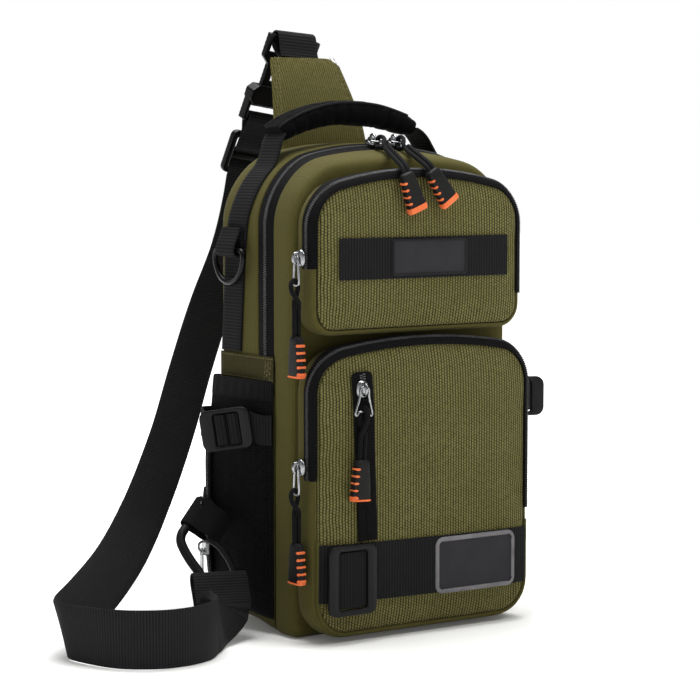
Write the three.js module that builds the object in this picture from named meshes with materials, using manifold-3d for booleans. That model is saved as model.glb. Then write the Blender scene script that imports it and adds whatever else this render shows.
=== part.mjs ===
// Sling bag of olive cloth: a zipped main body, two zipped front pockets, two mesh side pockets,
// a carrying handle and one long shoulder strap that lies on the floor to the left of the bag.
// Millimetres. X runs to the right seen from the front, the front faces -Y, Z points up.
// The origin lies on the floor under the middle of the body.
import * as THREE from "three";
import { mergeVertices } from "three/addons/utils/BufferGeometryUtils.js";
import Module from "manifold-3d";

const kernel = await Module();
kernel.setup();
const { Manifold, Mesh: ManifoldMesh } = kernel;

const WALL = 2;
const GAP = 0.3;
const WEB = 1.4;

const BODY = { half: 88, bottom: 0, top: 306, topRadius: 36, bottomRadius: 26, crown: 18.7 };
const UPPER = { half: 85, bottom: 200, top: 293, topRadius: 22, bottomRadius: 16, crown: 14 };
const LOWER = { half: 88.5, bottom: 2.5, top: 187, topRadius: 24, bottomRadius: 26, crown: 10 };
// The body from front to back: how far its top is crowned and how round its lower corners are.
BODY.depths = [
  { y: -60, crown: 9, bottomRadius: 8 },
  { y: -43, crown: 9, bottomRadius: 8 },
  { y: -22, crown: 13.8, bottomRadius: 8 },
  { y: -1.5, crown: 18.7, bottomRadius: 16 },
  { y: 20, crown: 18.7, bottomRadius: 25 },
  { y: 60, crown: 18.7, bottomRadius: 30 },
];
const ZIP_BACK = -1.5;
const ZIP_FRONT = -22;
const FRONT = -43;
const BAND_TOP = 184.5;
const BAND_BOTTOM = 167.3;
const POCKET_RIM = FRONT - 0.5;

const FINISH = {
  body_cloth: { color: "#4a452a", roughness: 0.85 },
  pocket_cloth: { color: "#565235", roughness: 0.9 },
  webbing: { color: "#1f1f20", roughness: 0.85 },
  zip_tape: { color: "#151516", roughness: 0.8 },
  mesh: { color: "#101011", roughness: 0.9 },
  plastic: { color: "#19191b", roughness: 0.42 },
  rubber: { color: "#2c2b27", roughness: 0.6 },
  patch: { color: "#262628", roughness: 0.55 },
  steel: { color: "#b9bcc0", roughness: 0.28, metalness: 0.9 },
};

const V = (x, y, z) => new THREE.Vector3(x, y, z);
const along = (p, d, s) => p.clone().addScaledVector(d, s);
const lerp = THREE.MathUtils.lerp;
const steps = (n) => Array.from({ length: n + 1 }, (_, k) => k / n);

// Value of a table column at a place between its rows.
function column(rows, key, value, name) {
  const k = Math.max(1, rows.findIndex((row) => (row[key] - value) * (rows[0][key] - value) <= 0));
  const [a, b] = [rows[k - 1], rows[k]];
  return lerp(a[name], b[name], THREE.MathUtils.clamp((value - a[key]) / (b[key] - a[key]), 0, 1));
}

// Closed body from points and triangles, turned so that its faces point outward.
function solid(points, faces) {
  const volume = faces.reduce((sum, [a, b, c]) =>
    sum + points[a].dot(points[b].clone().cross(points[c])), 0);
  const turned = volume < 0 ? faces.map(([a, b, c]) => [a, c, b]) : faces;
  const geometry = new THREE.BufferGeometry();
  const numbers = points.flatMap((p) => p.toArray());
  geometry.setAttribute("position", new THREE.Float32BufferAttribute(numbers, 3));
  geometry.setIndex(turned.flat());
  return geometry;
}

// Triangles between two rows of point numbers; `wrap` joins each row's end to its start.
function strip(a, b, wrap) {
  return a.slice(wrap ? 0 : 1).flatMap((_, k) => {
    const [i, j] = wrap ? [k, (k + 1) % a.length] : [k, k + 1];
    return [[a[i], a[j], b[j]], [a[i], b[j], b[i]]];
  });
}

// Cross-sections joined one to the next, closed into a loop or capped at both ends.
function loft(sections, shape, loop = false) {
  const points = sections.flat();
  const rows = sections.map((s, k) => s.map((_, i) => k * s.length + i));
  const faces = rows.slice(1).flatMap((row, k) => strip(rows[k], row, true));
  if (loop) return solid(points, [...faces, ...strip(rows.at(-1), rows[0], true)]);
  const contour = shape.map(([a, b]) => new THREE.Vector2(a, b));
  const cap = THREE.ShapeUtils.triangulateShape(contour, []);
  const fill = THREE.ShapeUtils.isClockWise(contour) ? cap.map(([a, b, c]) => [a, c, b]) : cap;
  const near = fill.map(([a, b, c]) => [rows[0][a], rows[0][c], rows[0][b]]);
  const far = fill.map((face) => face.map((i) => rows.at(-1)[i]));
  return solid(points, [...faces, ...near, ...far]);
}

function tangents(points, loop) {
  const last = points.length - 1;
  return points.map((_, k) => {
    const before = k > 0 ? k - 1 : loop ? last : 0;
    const after = k < last ? k + 1 : loop ? 0 : last;
    return points[after].clone().sub(points[before]).normalize();
  });
}

// Flat band through stations { at, across, half }, lying square to its run.
function ribbon(stations, thickness) {
  const shape = [[-1, -1], [1, -1], [1, 1], [-1, 1]];
  const runs = tangents(stations.map((s) => s.at));
  const sections = stations.map(({ at, across, half }, k) => {
    const normal = runs[k].clone().cross(across).normalize();
    return shape.map(([a, b]) => along(along(at, across, a * half), normal, (b * thickness) / 2));
  });
  return loft(sections, shape);
}

// Round rod through points; `side` is a direction that the run never follows.
function rod(points, radius, side, { sides = 7, loop = false } = {}) {
  const shape = steps(sides).slice(1).map((t) => [Math.cos(t * 2 * Math.PI), Math.sin(t * 2 * Math.PI)]);
  const runs = tangents(points, loop);
  const sections = points.map((p, k) => {
    const u = side.clone().addScaledVector(runs[k], -side.dot(runs[k])).normalize();
    const v = runs[k].clone().cross(u);
    return shape.map(([a, b]) => along(along(p, u, a * radius), v, b * radius));
  });
  return loft(sections, shape, loop);
}

// Thin cloth with both faces, from rows of points and the way its outer face looks.
function sheet(rows, thickness) {
  const [n, m] = [rows.length, rows[0].length];
  const normal = (k, i) => {
    const up = rows[Math.min(k + 1, n - 1)][i].clone().sub(rows[Math.max(k - 1, 0)][i]);
    const side = rows[k][Math.min(i + 1, m - 1)].clone().sub(rows[k][Math.max(i - 1, 0)]);
    return side.cross(up).normalize();
  };
  const layer = (s) => rows.map((row, k) => row.map((p, i) => along(p, normal(k, i), (s * thickness) / 2)));
  const points = [...layer(1), ...layer(-1)].flat();
  const outer = rows.map((row, k) => row.map((_, i) => k * m + i));
  const inner = outer.map((row) => row.map((i) => i + n * m));
  const side = (grid) => grid.slice(1).flatMap((row, k) => strip(grid[k], row, false));
  const edge = (grid) => [
    ...grid[0],
    ...grid.slice(1).map((row) => row.at(-1)),
    ...grid.at(-1).slice(0, -1).reverse(),
    ...grid.slice(1, -1).reverse().map((row) => row[0]),
  ];
  const flip = side(inner).map(([a, b, c]) => [a, c, b]);
  return solid(points, [...side(outer), ...flip, ...strip(edge(inner), edge(outer), true)]);
}

const ARC_STEPS = 5;
const SIDE_STOPS = [0.3, 0.6, 0.85];
const TOP_STOPS = [0.2, 0.4, 0.6, 0.8];

// Outline with rounded corners seen from the front, pulled in all round by `inset`.
// The top is crowned. The points start under the middle and run anticlockwise.
function outline(form, inset = 0, y = 0) {
  const at = (name) => (form.depths ? column(form.depths, "y", y, name) : form[name]);
  const x = form.half - inset;
  const [low, high] = [form.bottom + inset, form.top - inset];
  const [r, R] = [Math.max(at("bottomRadius") - inset, 1), Math.max(form.topRadius - inset, 1)];
  const arc = (cx, cz, radius, from) => steps(ARC_STEPS).map((t) => {
    const a = ((from + 90 * t) * Math.PI) / 180;
    return { x: cx + radius * Math.cos(a), z: cz + radius * Math.sin(a) };
  });
  const stops = form.sideHeights ?? SIDE_STOPS.map((t) => lerp(low + r, high - R, t));
  const points = [
    { x: 0, z: low },
    ...arc(x - r, low + r, r, -90),
    ...stops.map((z) => ({ x, z })),
    ...arc(x - R, high - R, R, 0),
    ...TOP_STOPS.map((t) => ({ x: lerp(x - R, R - x, t), z: high })),
    ...arc(R - x, high - R, R, 90),
    ...stops.toReversed().map((z) => ({ x: -x, z })),
    ...arc(r - x, low + r, r, 180),
  ];
  const rise = (p) => at("crown") * (1 - (p.x / form.half) ** 2) * ((p.z - low) / (high - low));
  return points.map((p) => V(p.x, 0, p.z + Math.max(rise(p), 0)));
}

function ring(form, { inset, y }, depthAt) {
  if (y !== undefined) return outline(form, inset, y).map((p) => V(p.x, y, p.z));
  return outline(form, inset).map((p, i) => {
    const depth = depthAt(p);
    return outline(form, inset, depth)[i].setY(depth);
  });
}

// Sewn tub of cloth, open at the first ring: outer rings to the middle of the face, then inner rings.
function tub(form, outerRows, innerRows, depthAt) {
  const middle = (form.bottom + form.top + form.crown / 2) / 2;
  const points = [];
  const skin = (rows) => {
    const numbers = rows.map((row) => ring(form, row, depthAt).map((p) => points.push(p) - 1));
    const last = numbers.at(-1);
    const centre = points.push(V(0, rows.at(-1).face ?? rows.at(-1).y, middle)) - 1;
    const walls = numbers.slice(1).flatMap((row, k) => strip(numbers[k], row, true));
    const fan = last.map((p, i) => [p, last[(i + 1) % last.length], centre]);
    return { rim: numbers[0], faces: [...walls, ...fan] };
  };
  const [outer, inner] = [skin(outerRows), skin(innerRows)];
  const back = inner.faces.map(([a, b, c]) => [a, c, b]);
  return solid(points, [...outer.faces, ...back, ...strip(inner.rim, outer.rim, true)]);
}

// Band that follows an outline wherever `keep` holds; rows give its section.
function edging(form, rows, keep) {
  const lines = rows.map((row) => ring(form, row));
  const picked = outline(form).map((p, i) => (keep(p) ? i : -1)).filter((i) => i >= 0);
  return loft(picked.map((i) => lines.map((line) => line[i])), rows.map((row) => [row.y, -row.inset]));
}

// Zip section: flat tape with the raised row of teeth along its middle.
function zipRows(from, to, lift, thickness) {
  const [middle, teeth] = [(from + to) / 2, 2.6];
  return [
    { inset: -lift - thickness, y: from },
    { inset: -lift - thickness, y: middle + teeth },
    { inset: -lift - thickness - 1, y: middle + teeth - 0.6 },
    { inset: -lift - thickness - 1, y: middle - teeth + 0.6 },
    { inset: -lift - thickness, y: middle - teeth },
    { inset: -lift - thickness, y: to },
    { inset: -lift, y: to },
    { inset: -lift, y: from },
  ];
}

// Flat plate cut from an outline with windows, in a frame of its own, centred on its thickness.
function plate(points, windows, thickness) {
  const shape = new THREE.Shape(points.map(([x, y]) => new THREE.Vector2(x, y)));
  shape.holes = windows.map((hole) => new THREE.Path(hole.map(([x, y]) => new THREE.Vector2(x, y))));
  const geometry = new THREE.ExtrudeGeometry(shape, { depth: thickness, bevelEnabled: false });
  return geometry.translate(0, 0, -thickness / 2);
}

// Rectangle between two corners with its corners cut off by `cut`.
function box2(x0, y0, x1, y1, cut = 0) {
  if (!cut) return [[x0, y0], [x1, y0], [x1, y1], [x0, y1]];
  return [
    [x0 + cut, y0], [x1 - cut, y0], [x1, y0 + cut], [x1, y1 - cut],
    [x1 - cut, y1], [x0 + cut, y1], [x0, y1 - cut], [x0, y0 + cut],
  ];
}

function frame(origin, x, y) {
  const ex = x.clone().addScaledVector(y, -x.dot(y)).normalize();
  return new THREE.Matrix4().makeBasis(ex, y, ex.clone().cross(y)).setPosition(origin);
}

function fused(...geometries) {
  const bodies = geometries.map((geometry) => {
    const bare = geometry.clone().deleteAttribute("normal").deleteAttribute("uv");
    const welded = mergeVertices(bare, 1e-4);
    return new Manifold(new ManifoldMesh({
      numProp: 3,
      vertProperties: welded.attributes.position.array,
      triVerts: new Uint32Array(welded.index.array),
    }));
  });
  const mesh = Manifold.union(bodies).getMesh();
  const geometry = new THREE.BufferGeometry();
  geometry.setAttribute("position", new THREE.BufferAttribute(mesh.vertProperties, 3));
  geometry.setIndex(Array.from(mesh.triVerts));
  return geometry;
}

const bag = new THREE.Group();
bag.name = "sling_bag";

function add(name, finish, geometry, matrix) {
  const material = new THREE.MeshStandardMaterial({ metalness: 0, ...FINISH[finish] });
  material.name = finish;
  const mesh = new THREE.Mesh(geometry, material);
  mesh.name = name;
  if (matrix) mesh.applyMatrix4(matrix);
  bag.add(mesh);
  return mesh;
}

// Main body: a back tub and a front tub of cloth, parted above the side bands by the zip.
BODY.sideHeights = [60, 115, BAND_TOP - 4, BAND_TOP, 228];
const rimDepth = (p) => (p.z > BAND_TOP - 2 ? ZIP_BACK : ZIP_FRONT + GAP);
const backOuter = [
  { inset: 0 },
  { inset: 0, y: 15 },
  { inset: 0, y: 40 },
  { inset: 1.2, y: 44.5 },
  { inset: 5.5, y: 48.5 },
  { inset: 20, y: 50.5, face: 52.5 },
];
const backInner = [
  { inset: WALL },
  { inset: WALL, y: 15 },
  { inset: WALL, y: 39.5 },
  { inset: 3.4, y: 43 },
  { inset: 7.5, y: 46.5 },
  { inset: 20, y: 48.5, face: 50.5 },
];
add("back_shell", "body_cloth", tub(BODY, backOuter, backInner, rimDepth));

const frontOuter = [
  { inset: 0, y: ZIP_FRONT },
  { inset: 0, y: FRONT + 6 },
  { inset: 1.5, y: FRONT + 2 },
  { inset: 5, y: FRONT },
];
const frontInner = [
  { inset: WALL, y: ZIP_FRONT },
  { inset: WALL, y: FRONT + 6 },
  { inset: 5, y: FRONT + WALL },
];
add("front_shell", "body_cloth", tub(BODY, frontOuter, frontInner));
const zipTop = (p) => p.z > BAND_TOP - 1;
add("main_zip", "zip_tape", edging(BODY, zipRows(ZIP_BACK - GAP, ZIP_FRONT + GAP, -1.4, 1.2), zipTop));

// Front pockets: tubs sewn by their rims to the front of the body, each with its zip round the top.
const upperOuter = [
  { inset: 1, y: POCKET_RIM },
  { inset: 0, y: -48 },
  { inset: 0, y: -58 },
  { inset: 2, y: -61.5 },
  { inset: 6, y: -63 },
  { inset: 30, y: -64.5, face: -65 },
];
const upperInner = [
  { inset: 1 + WALL, y: POCKET_RIM },
  { inset: WALL, y: -57 },
  { inset: 6.5, y: -61 },
  { inset: 30, y: -62.5, face: -63 },
];
const upperPocket = add("upper_pocket", "pocket_cloth", tub(UPPER, upperOuter, upperInner));

const lowerOuter = [
  { inset: 4.8, y: POCKET_RIM },
  { inset: 1, y: -49 },
  { inset: 0, y: -54 },
  { inset: 0, y: -63 },
  { inset: 2, y: -67 },
  { inset: 7, y: -69 },
  { inset: 40, y: -71, face: -72 },
];
const lowerInner = [
  { inset: 4.8 + WALL, y: POCKET_RIM },
  { inset: WALL, y: -54 },
  { inset: WALL, y: -62 },
  { inset: 7.5, y: -67 },
  { inset: 40, y: -69, face: -70 },
];
const lowerPocket = add("lower_pocket", "pocket_cloth", tub(LOWER, lowerOuter, lowerInner));

const upperTop = (p) => p.z > (p.x < 0 ? 241 : 222);
const lowerTop = (p) => p.z > (p.x < 0 ? 105 : 75);
add("upper_pocket_zip", "zip_tape", edging(UPPER, zipRows(-46, -58, GAP, 1.2), upperTop));
add("lower_pocket_zip", "zip_tape", edging(LOWER, zipRows(-51.5, -63, GAP, 1.2), lowerTop));

// Depth of a pocket's face at a place, and flat trim that follows it.
const ray = new THREE.Raycaster();
function faceAt(pocket, x, z) {
  ray.set(V(x, -200, z), V(0, 1, 0));
  return ray.intersectObject(pocket)[0].point.y;
}
function trim(pocket, from, to, half, thickness, places = steps(10)) {
  const across = V(to.z - from.z, 0, from.x - to.x).normalize();
  const stations = places.map((t) => {
    const at = V(lerp(from.x, to.x, t), 0, lerp(from.z, to.z, t));
    const under = [-0.9, 0, 0.9].map((s) => along(at, across, s * half));
    at.y = Math.min(...under.map((p) => faceAt(pocket, p.x, p.z))) - LIFT - thickness / 2;
    return { at, across, half };
  });
  return ribbon(stations, thickness);
}
const LIFT = 0.45;
const upperBandEnds = [{ x: -67, z: 249.5 }, { x: 69.5, z: 249.5 }];
add("upper_band", "webbing", trim(upperPocket, ...upperBandEnds, 13.5, WEB));
add("upper_patch", "patch", plate(box2(-30.5, -12, 30.5, 12, 2), [], 2.2),
  frame(V(3.6, -68.4, 249.8), V(1, 0, 0), V(0, 0, 1)));
const lowerBandEnds = [{ x: -85.5, z: 46.8 }, { x: 83.5, z: 44.6 }];
const breaks = [0, 0.0234, ...steps(9).map((t) => lerp(0.06, 0.94, t)), 0.9766, 1];
add("lower_band", "webbing", trim(lowerPocket, ...lowerBandEnds, 19, WEB, breaks));
add("lower_patch", "patch", plate(box2(-33.3, -19, 33.3, 19, 5), [], 2.4),
  frame(V(37, -75, 44.6), V(1, 0, 0), V(0, 0, 1)));
const tapeEnds = [{ x: -54, z: 177 }, { x: -49.8, z: 66.8 }];
add("face_zip", "zip_tape", trim(lowerPocket, ...tapeEnds, 8.2, 1.4));

// Flat ring on the lower band, with the webbing that keeps it there filling its window.
const ringAt = V(-62.6, -74.9, 42.1);
const bandRing = plate(box2(-18.7, -23.1, 18.7, 23.1, 5), [box2(-11.5, -19.2, 11.5, 19.2, 2)], 3.2);
add("band_ring", "plastic", bandRing, frame(ringAt, V(1, 0, 0), V(0, 0, 1)));
add("ring_keeper", "webbing", plate(box2(-11, -18.6, 11, 18.6, 1.8), [], 2.4),
  frame(along(ringAt, V(0, 1, 0), 0.4), V(1, 0, 0), V(0, 0, 1)));

// Side pockets: mesh that bulges from the body's side, open at the top, with an elastic edge.
const PLAN = [
  { y: 44, out: 0.6 },
  { y: 48, out: 2.8 },
  { y: 48.5, out: 7 },
  { y: 45, out: 10.5 },
  { y: 35, out: 12.5 },
  { y: 15, out: 12.5 },
  { y: 0, out: 11 },
  { y: -12, out: 7 },
  { y: -18.5, out: 3.4 },
  { y: -21.5, out: 1.1 },
];
const BULGE = [
  { z: 10, share: 0 },
  { z: 16, share: 0.5 },
  { z: 28, share: 0.85 },
  { z: 45, share: 1 },
  { z: 110, share: 1.02 },
  { z: 130, share: 0.96 },
  { z: 155, share: 0.7 },
  { z: 168, share: 0.56 },
];
const REST = 1.3;
// Half width of the body at a depth and height, where its lower corners are rounded.
function wallAt(y, z) {
  const r = column(BODY.depths, "y", y, "bottomRadius");
  return BODY.half - (z < r ? r - Math.sqrt(r * r - (r - z) ** 2) : 0);
}
function mesh(side, z) {
  const share = column(BULGE, "z", z, "share");
  return PLAN.map(({ y, out }, k) => {
    const rear = y > 40 ? lerp(44, y, share) : y;
    const bulge = k === 0 ? out : lerp(REST, out, share);
    return V(side * (wallAt(y, z) + bulge), rear, z);
  });
}
const wrapped = (side, heights) => heights.map((z) => (side < 0 ? mesh(side, z) : mesh(side, z).reverse()));

// Side release lock: a plate with two slots, standing off the pocket on its strap.
const LOCK = { z: 136.3, half: 13.8, nose: 9.2, from: -17, to: 19 };
const SIDE_HALF = 10;
const THREADED = [
  { t: -15, n: 0 },
  { t: -9.5, n: 0 },
  { t: -8.2, n: 0.3 },
  { t: -3.2, n: 4.6 },
  { t: -2, n: 4.9 },
  { t: 2, n: 4.9 },
  { t: 3.2, n: 4.6 },
  { t: 8.2, n: 0.3 },
];
// The strap on each side, seen from above: from the front seam, through the lock, to the rear seam.
// The left lock lies back along the pocket and the right one stands out from the seam.
const STRAP_END = [
  { x: 102.8, y: 46 },
  { x: 99.5, y: 51.6 },
  { x: 93, y: 52.4 },
  { x: 84, y: 51 },
  { x: 77, y: 50.4 },
];
const SIDES = [
  {
    word: "left", side: -1, at: V(-108.4, 2.5, LOCK.z), run: V(-0.6, 0.8, 0), face: V(-0.8, -0.6, 0),
    front: [{ x: 90.9, y: -22.5 }, { x: 95, y: -16.5 }],
    rear: [{ x: 117, y: 16 }, { x: 113, y: 26 }, { x: 107, y: 38 }, ...STRAP_END],
  },
  {
    word: "right", side: 1, at: V(108, -30.1, LOCK.z + 12), run: V(0.93, -0.37, 0), face: V(-0.37, -0.93, 0),
    front: [{ x: 88.5, y: -22.9 }],
    rear: [{ x: 120, y: -31 }, { x: 122, y: -26 }, { x: 119, y: -16 }, { x: 112, y: 8 }, { x: 106.5, y: 32 },
      ...STRAP_END],
  },
];
for (const { word, side, at, run, face, front, rear } of SIDES) {
  add(`${word}_mesh`, "mesh", sheet(wrapped(side, [10, 16, 28, 45, 75, 110, 154.7]), 1.2));
  add(`${word}_mesh_edge`, "webbing", sheet(wrapped(side, [155, 161, 167]), 1.6));

  const bandAt = [V(88.9, -21.7, 0), V(88.9, 0, 0), V(88.9, 20, 0), V(88.9, 40, 0), V(87.9, 44.8, 0)];
  const [middle, half] = [(BAND_TOP + BAND_BOTTOM) / 2, (BAND_TOP - BAND_BOTTOM) / 2];
  const bandRun = bandAt.map((p) => ({ at: V(side * p.x, p.y, middle), across: V(0, 0, 1), half }));
  add(`${word}_band`, "body_cloth", ribbon(bandRun, 1.1));

  const route = [
    ...front.map(({ x, y }) => V(side * x, y, at.z)),
    ...THREADED.map(({ t, n }) => along(along(at, run, t), face, n)),
    ...rear.map(({ x, y }) => V(side * x, y, at.z)),
  ];
  const strapRun = route.map((p) => ({ at: p, across: V(0, 0, 1), half: SIDE_HALF }));
  add(`${word}_side_strap`, "webbing", ribbon(strapRun, WEB));
  const slots = [box2(-11.2, -9, 11.2, -2), box2(-11.2, 2, 11.2, 9)];
  const body = [
    [-LOCK.half, LOCK.from], [LOCK.half, LOCK.from], [LOCK.half, 11],
    [LOCK.nose, LOCK.to], [-LOCK.nose, LOCK.to], [-LOCK.half, 11],
  ];
  add(`${word}_side_lock`, "plastic", plate(body, slots, 2.4),
    frame(along(at, face, 2.5), V(0, 0, 1), run));
}

// Zip up the rear of the left side pocket.
const rearAcross = V(0.2, 1, 0).normalize();
const rearOut = V(-1, 0.2, 0).normalize();
const rearZip = steps(8).map((t) => {
  const z = lerp(34, 126, t);
  const base = V(-88 - 11.5 * column(BULGE, "z", z, "share"), 40.2, z);
  return { at: along(base, rearOut, 1.9), across: rearAcross, half: 4.6 };
});
add("rear_zip", "zip_tape", ribbon(rearZip, 1.2));

// Handle: webbing up each side, standing off the top into one padded grip.
const WEB_DEPTH = [
  { z: 186, y: 30 },
  { z: 250, y: 25 },
  { z: 286, y: 19 },
  { z: 305, y: 18 },
  { z: 345, y: 18 },
];
const HANDLE_Y = 18;
const HANDLE = {
  left: [{ x: 66.5, z: 316 }, { x: 64, z: 321 }, { x: 61.5, z: 327 }, { x: 58, z: 331 }],
  right: [
    { x: 63.5, z: 318.5 },
    { x: 60.5, z: 323 },
    { x: 57, z: 328 },
    { x: 52.5, z: 332.2 },
    { x: 48.2, z: 334.6 },
  ],
};
const webLift = GAP + WEB / 2;
const climb = outline(BODY, -webLift).reverse().filter((p) => p.x < -67.5 && p.z > BAND_TOP + 1.5);
climb.unshift(V(-88 - webLift, 0, BAND_TOP + 1));
for (const [side, word] of [[-1, "left"], [1, "right"]]) {
  const route = [...climb, ...HANDLE[word].map(({ x, z }) => V(-x, 0, z))];
  const stations = route.map((p) => {
    const y = column(WEB_DEPTH, "z", p.z, "y");
    return { at: V(-side * p.x, y, p.z), across: V(0, 1, 0), half: 12 };
  });
  add(`${word}_handle_web`, "webbing", ribbon(stations, WEB));
}
const gripRows = [
  { x: -57.2, z: 332, deep: 11, tall: 5 },
  { x: -53, z: 335, deep: 12, tall: 6.8 },
  { x: -42, z: 340, deep: 12.5, tall: 8.4 },
  { x: -24, z: 345, deep: 12.5, tall: 9.2 },
  { x: -5, z: 346.6, deep: 12.5, tall: 9.4 },
  { x: 14, z: 345, deep: 12.5, tall: 9.2 },
  { x: 30, z: 341, deep: 12.5, tall: 8.4 },
  { x: 42, z: 337.4, deep: 12, tall: 7.4 },
  { x: 47.4, z: 335.4, deep: 11, tall: 6 },
];
const gripRuns = tangents(gripRows.map((row) => V(row.x, HANDLE_Y, row.z)));
const gripRound = steps(12).slice(1).map((t) => [Math.cos(t * 2 * Math.PI), Math.sin(t * 2 * Math.PI)]);
const squarish = (v, power = 0.7) => Math.sign(v) * Math.abs(v) ** power;
const gripSections = gripRows.map(({ x, z, deep, tall }, k) => {
  const up = gripRuns[k].clone().cross(V(0, 1, 0)).negate();
  const at = V(x, HANDLE_Y, z);
  return gripRound.map(([a, b]) => along(along(at, V(0, 1, 0), squarish(a) * deep), up, squarish(b) * tall));
});
add("handle_grip", "webbing", loft(gripSections, gripRound));

// D-ring on the left side: its straight bar lies in a folded webbing tab.
const DRING = { x: -94.4, y: 24, z: 253, half: 17.5, drop: 21.5, wire: 2.5 };
const TAB = [
  { out: 2.9, z: 268.5 },
  { out: 2.9, z: 258 },
  { out: 2.9, z: 253 },
  { out: 3.9, z: 250.4 },
  { out: 6.4, z: 249.4 },
  { out: 8.9, z: 250.4 },
  { out: 9.9, z: 253 },
  { out: 8.8, z: 258 },
  { out: 5.6, z: 265 },
  { out: 4.6, z: 268.5 },
];
const tabRun = TAB.map(({ out, z }) => ({ at: V(-88 - out, DRING.y, z), across: V(0, 1, 0), half: 11.5 }));
add("dring_tab", "webbing", ribbon(tabRun, 1.2));
const bow = steps(9).map((t) => {
  const a = Math.PI * (1 + t);
  const [c, s] = [Math.cos(a), Math.sin(a)];
  return V(DRING.x, DRING.y + c * DRING.half, DRING.z - 4 + s * (DRING.drop - 4));
});
const bar = [1, 0.9, 0.6, -0.6, -0.9, -1].map((s) =>
  V(DRING.x, DRING.y + s * (DRING.half - 1.2), DRING.z - (Math.abs(s) === 1 ? 1.2 : 0)));
add("d_ring", "plastic", rod([...bow, ...bar], DRING.wire, V(1, 0, 0), { sides: 8, loop: true }));

// Strap yoke: a stitched cloth panel that leans back from the top of the back.
const YOKE = [
  { y: 52.9, z: 290, half: 40 },
  { y: 52.6, z: 306, half: 39 },
  { y: 55.5, z: 322, half: 37.5 },
  { y: 59.5, z: 340, half: 35.5 },
  { y: 67, z: 360, half: 31.5 },
  { y: 75.6, z: 379, half: 27.5 },
  { y: 78, z: 384, half: 26 },
];
const yokeRun = YOKE.map(({ y, z, half }) => ({ at: V(-1, y, z), across: V(1, 0, 0), half }));
add("yoke", "pocket_cloth", ribbon(yokeRun, 3.4));

// Buckle chain: it hangs down behind the yoke. `t` runs down the chain, `n` off its face.
const CHAIN = V(-2, 86, 397);
const chainDown = V(-0.15, 0.35, -0.92).normalize();
const chainWide = V(1, 0, 0).addScaledVector(chainDown, -chainDown.x).normalize();
const chainFace = chainWide.clone().cross(chainDown);
const chain = (t, n) => along(along(CHAIN, chainDown, t), chainFace, n);
const onChain = (t, n = 0) => frame(chain(t, n), chainWide, chainDown);

const YOKE_WEB = [
  { y: 78.3, z: 384.5 },
  { y: 79.8, z: 389 },
  { y: 81, z: 397 },
  { y: 82.3, z: 400.7 },
  { y: 86, z: 402.2 },
  { y: 89.7, z: 400.7 },
  { y: 91.2, z: 397 },
  { y: 91, z: 394 },
  { y: 88.7, z: 390.2 },
  { y: 85, z: 386.4 },
  { y: 80.3, z: 382 },
  { y: 76.4, z: 374 },
];
const yokeWeb = YOKE_WEB.map(({ y, z }) => ({
  at: V(-2, y, z),
  across: z > 388 ? chainWide : V(1, 0, 0),
  half: 16,
}));
add("yoke_web", "webbing", ribbon(yokeWeb, WEB));
const maleSide = [[22, -2], [22, 15], [16, 20], [16, 35.7]];
const maleBody = [...maleSide, ...maleSide.toReversed().map(([x, y]) => [-x, y])];
const maleWindows = [box2(-18, 2, 18, 11), box2(-10, 21.5, 10, 32)];
add("buckle_male", "plastic", plate(maleBody, maleWindows, 4), onChain(0));
const femaleCase = plate(box2(-23, 36, 23, 50, 4), [], 10);
const femaleTail = plate(box2(-23, 45, 23, 63, 3), [box2(-19.5, 51.5, 19.5, 58.7)], 4);
const femaleRails = [-21.4, 21.4].map((x) => plate(box2(x - 1.6, 46, x + 1.6, 62), [], 7));
add("buckle_female", "plastic", fused(femaleCase, femaleTail, ...femaleRails), onChain(0));
const glideWindows = [box2(-20, 75, 20, 88.8), box2(-20, 93.2, 20, 100.4)];
const glide = plate(box2(-23.5, 72, 23.5, 103.6, 4), glideWindows, 2.4);
add("strap_glide", "plastic", glide, onChain(0, 2.5));

// Snap hook: it hangs by the left rear edge and carries the strap's lower end.
const HOOK = { at: V(-122, -6, 38.5), wide: V(0.966, -0.259, 0), up: V(0.15, 0.5, 0.85).normalize() };
const hookFrame = frame(HOOK.at, HOOK.wide, HOOK.up);
const local = (x, y, z) => V(x, y, z).applyMatrix4(hookFrame);
const hookFace = local(0, 0, 1).sub(local(0, 0, 0));
const hookWide = local(1, 0, 0).sub(local(0, 0, 0));
const base = plate(
  [[-21, -2], [22.5, -2], [22.5, 6.5], [5, 26], [-1, 29], [-21, 29], [-25.4, 24], [-25, 18], [-21.4, 3]],
  [[[-18.9, 2], [19.2, 2], [19.2, 6], [3, 20.5], [-21, 20.5], [-18.9, 3]]],
  5,
);
const claw = [
  [-20, 26], [-21.6, 33], [-17.5, 42], [-12, 49.6], [-5.6, 53.6], [0.6, 52.6], [4.8, 48.4], [6, 44.4],
].map(([x, y]) => V(x, y, 0));
add("snap_hook", "plastic", fused(base, rod(claw, 3.1, V(0, 0, 1), { sides: 8 })), hookFrame);
const gate = [[-3.9, 30.9], [1, 35.6], [5.2, 41.2]].map(([x, y]) => V(x, y, 0));
add("hook_gate", "plastic", rod(gate, 2, V(0, 0, 1), { sides: 8 }), hookFrame);

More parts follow.
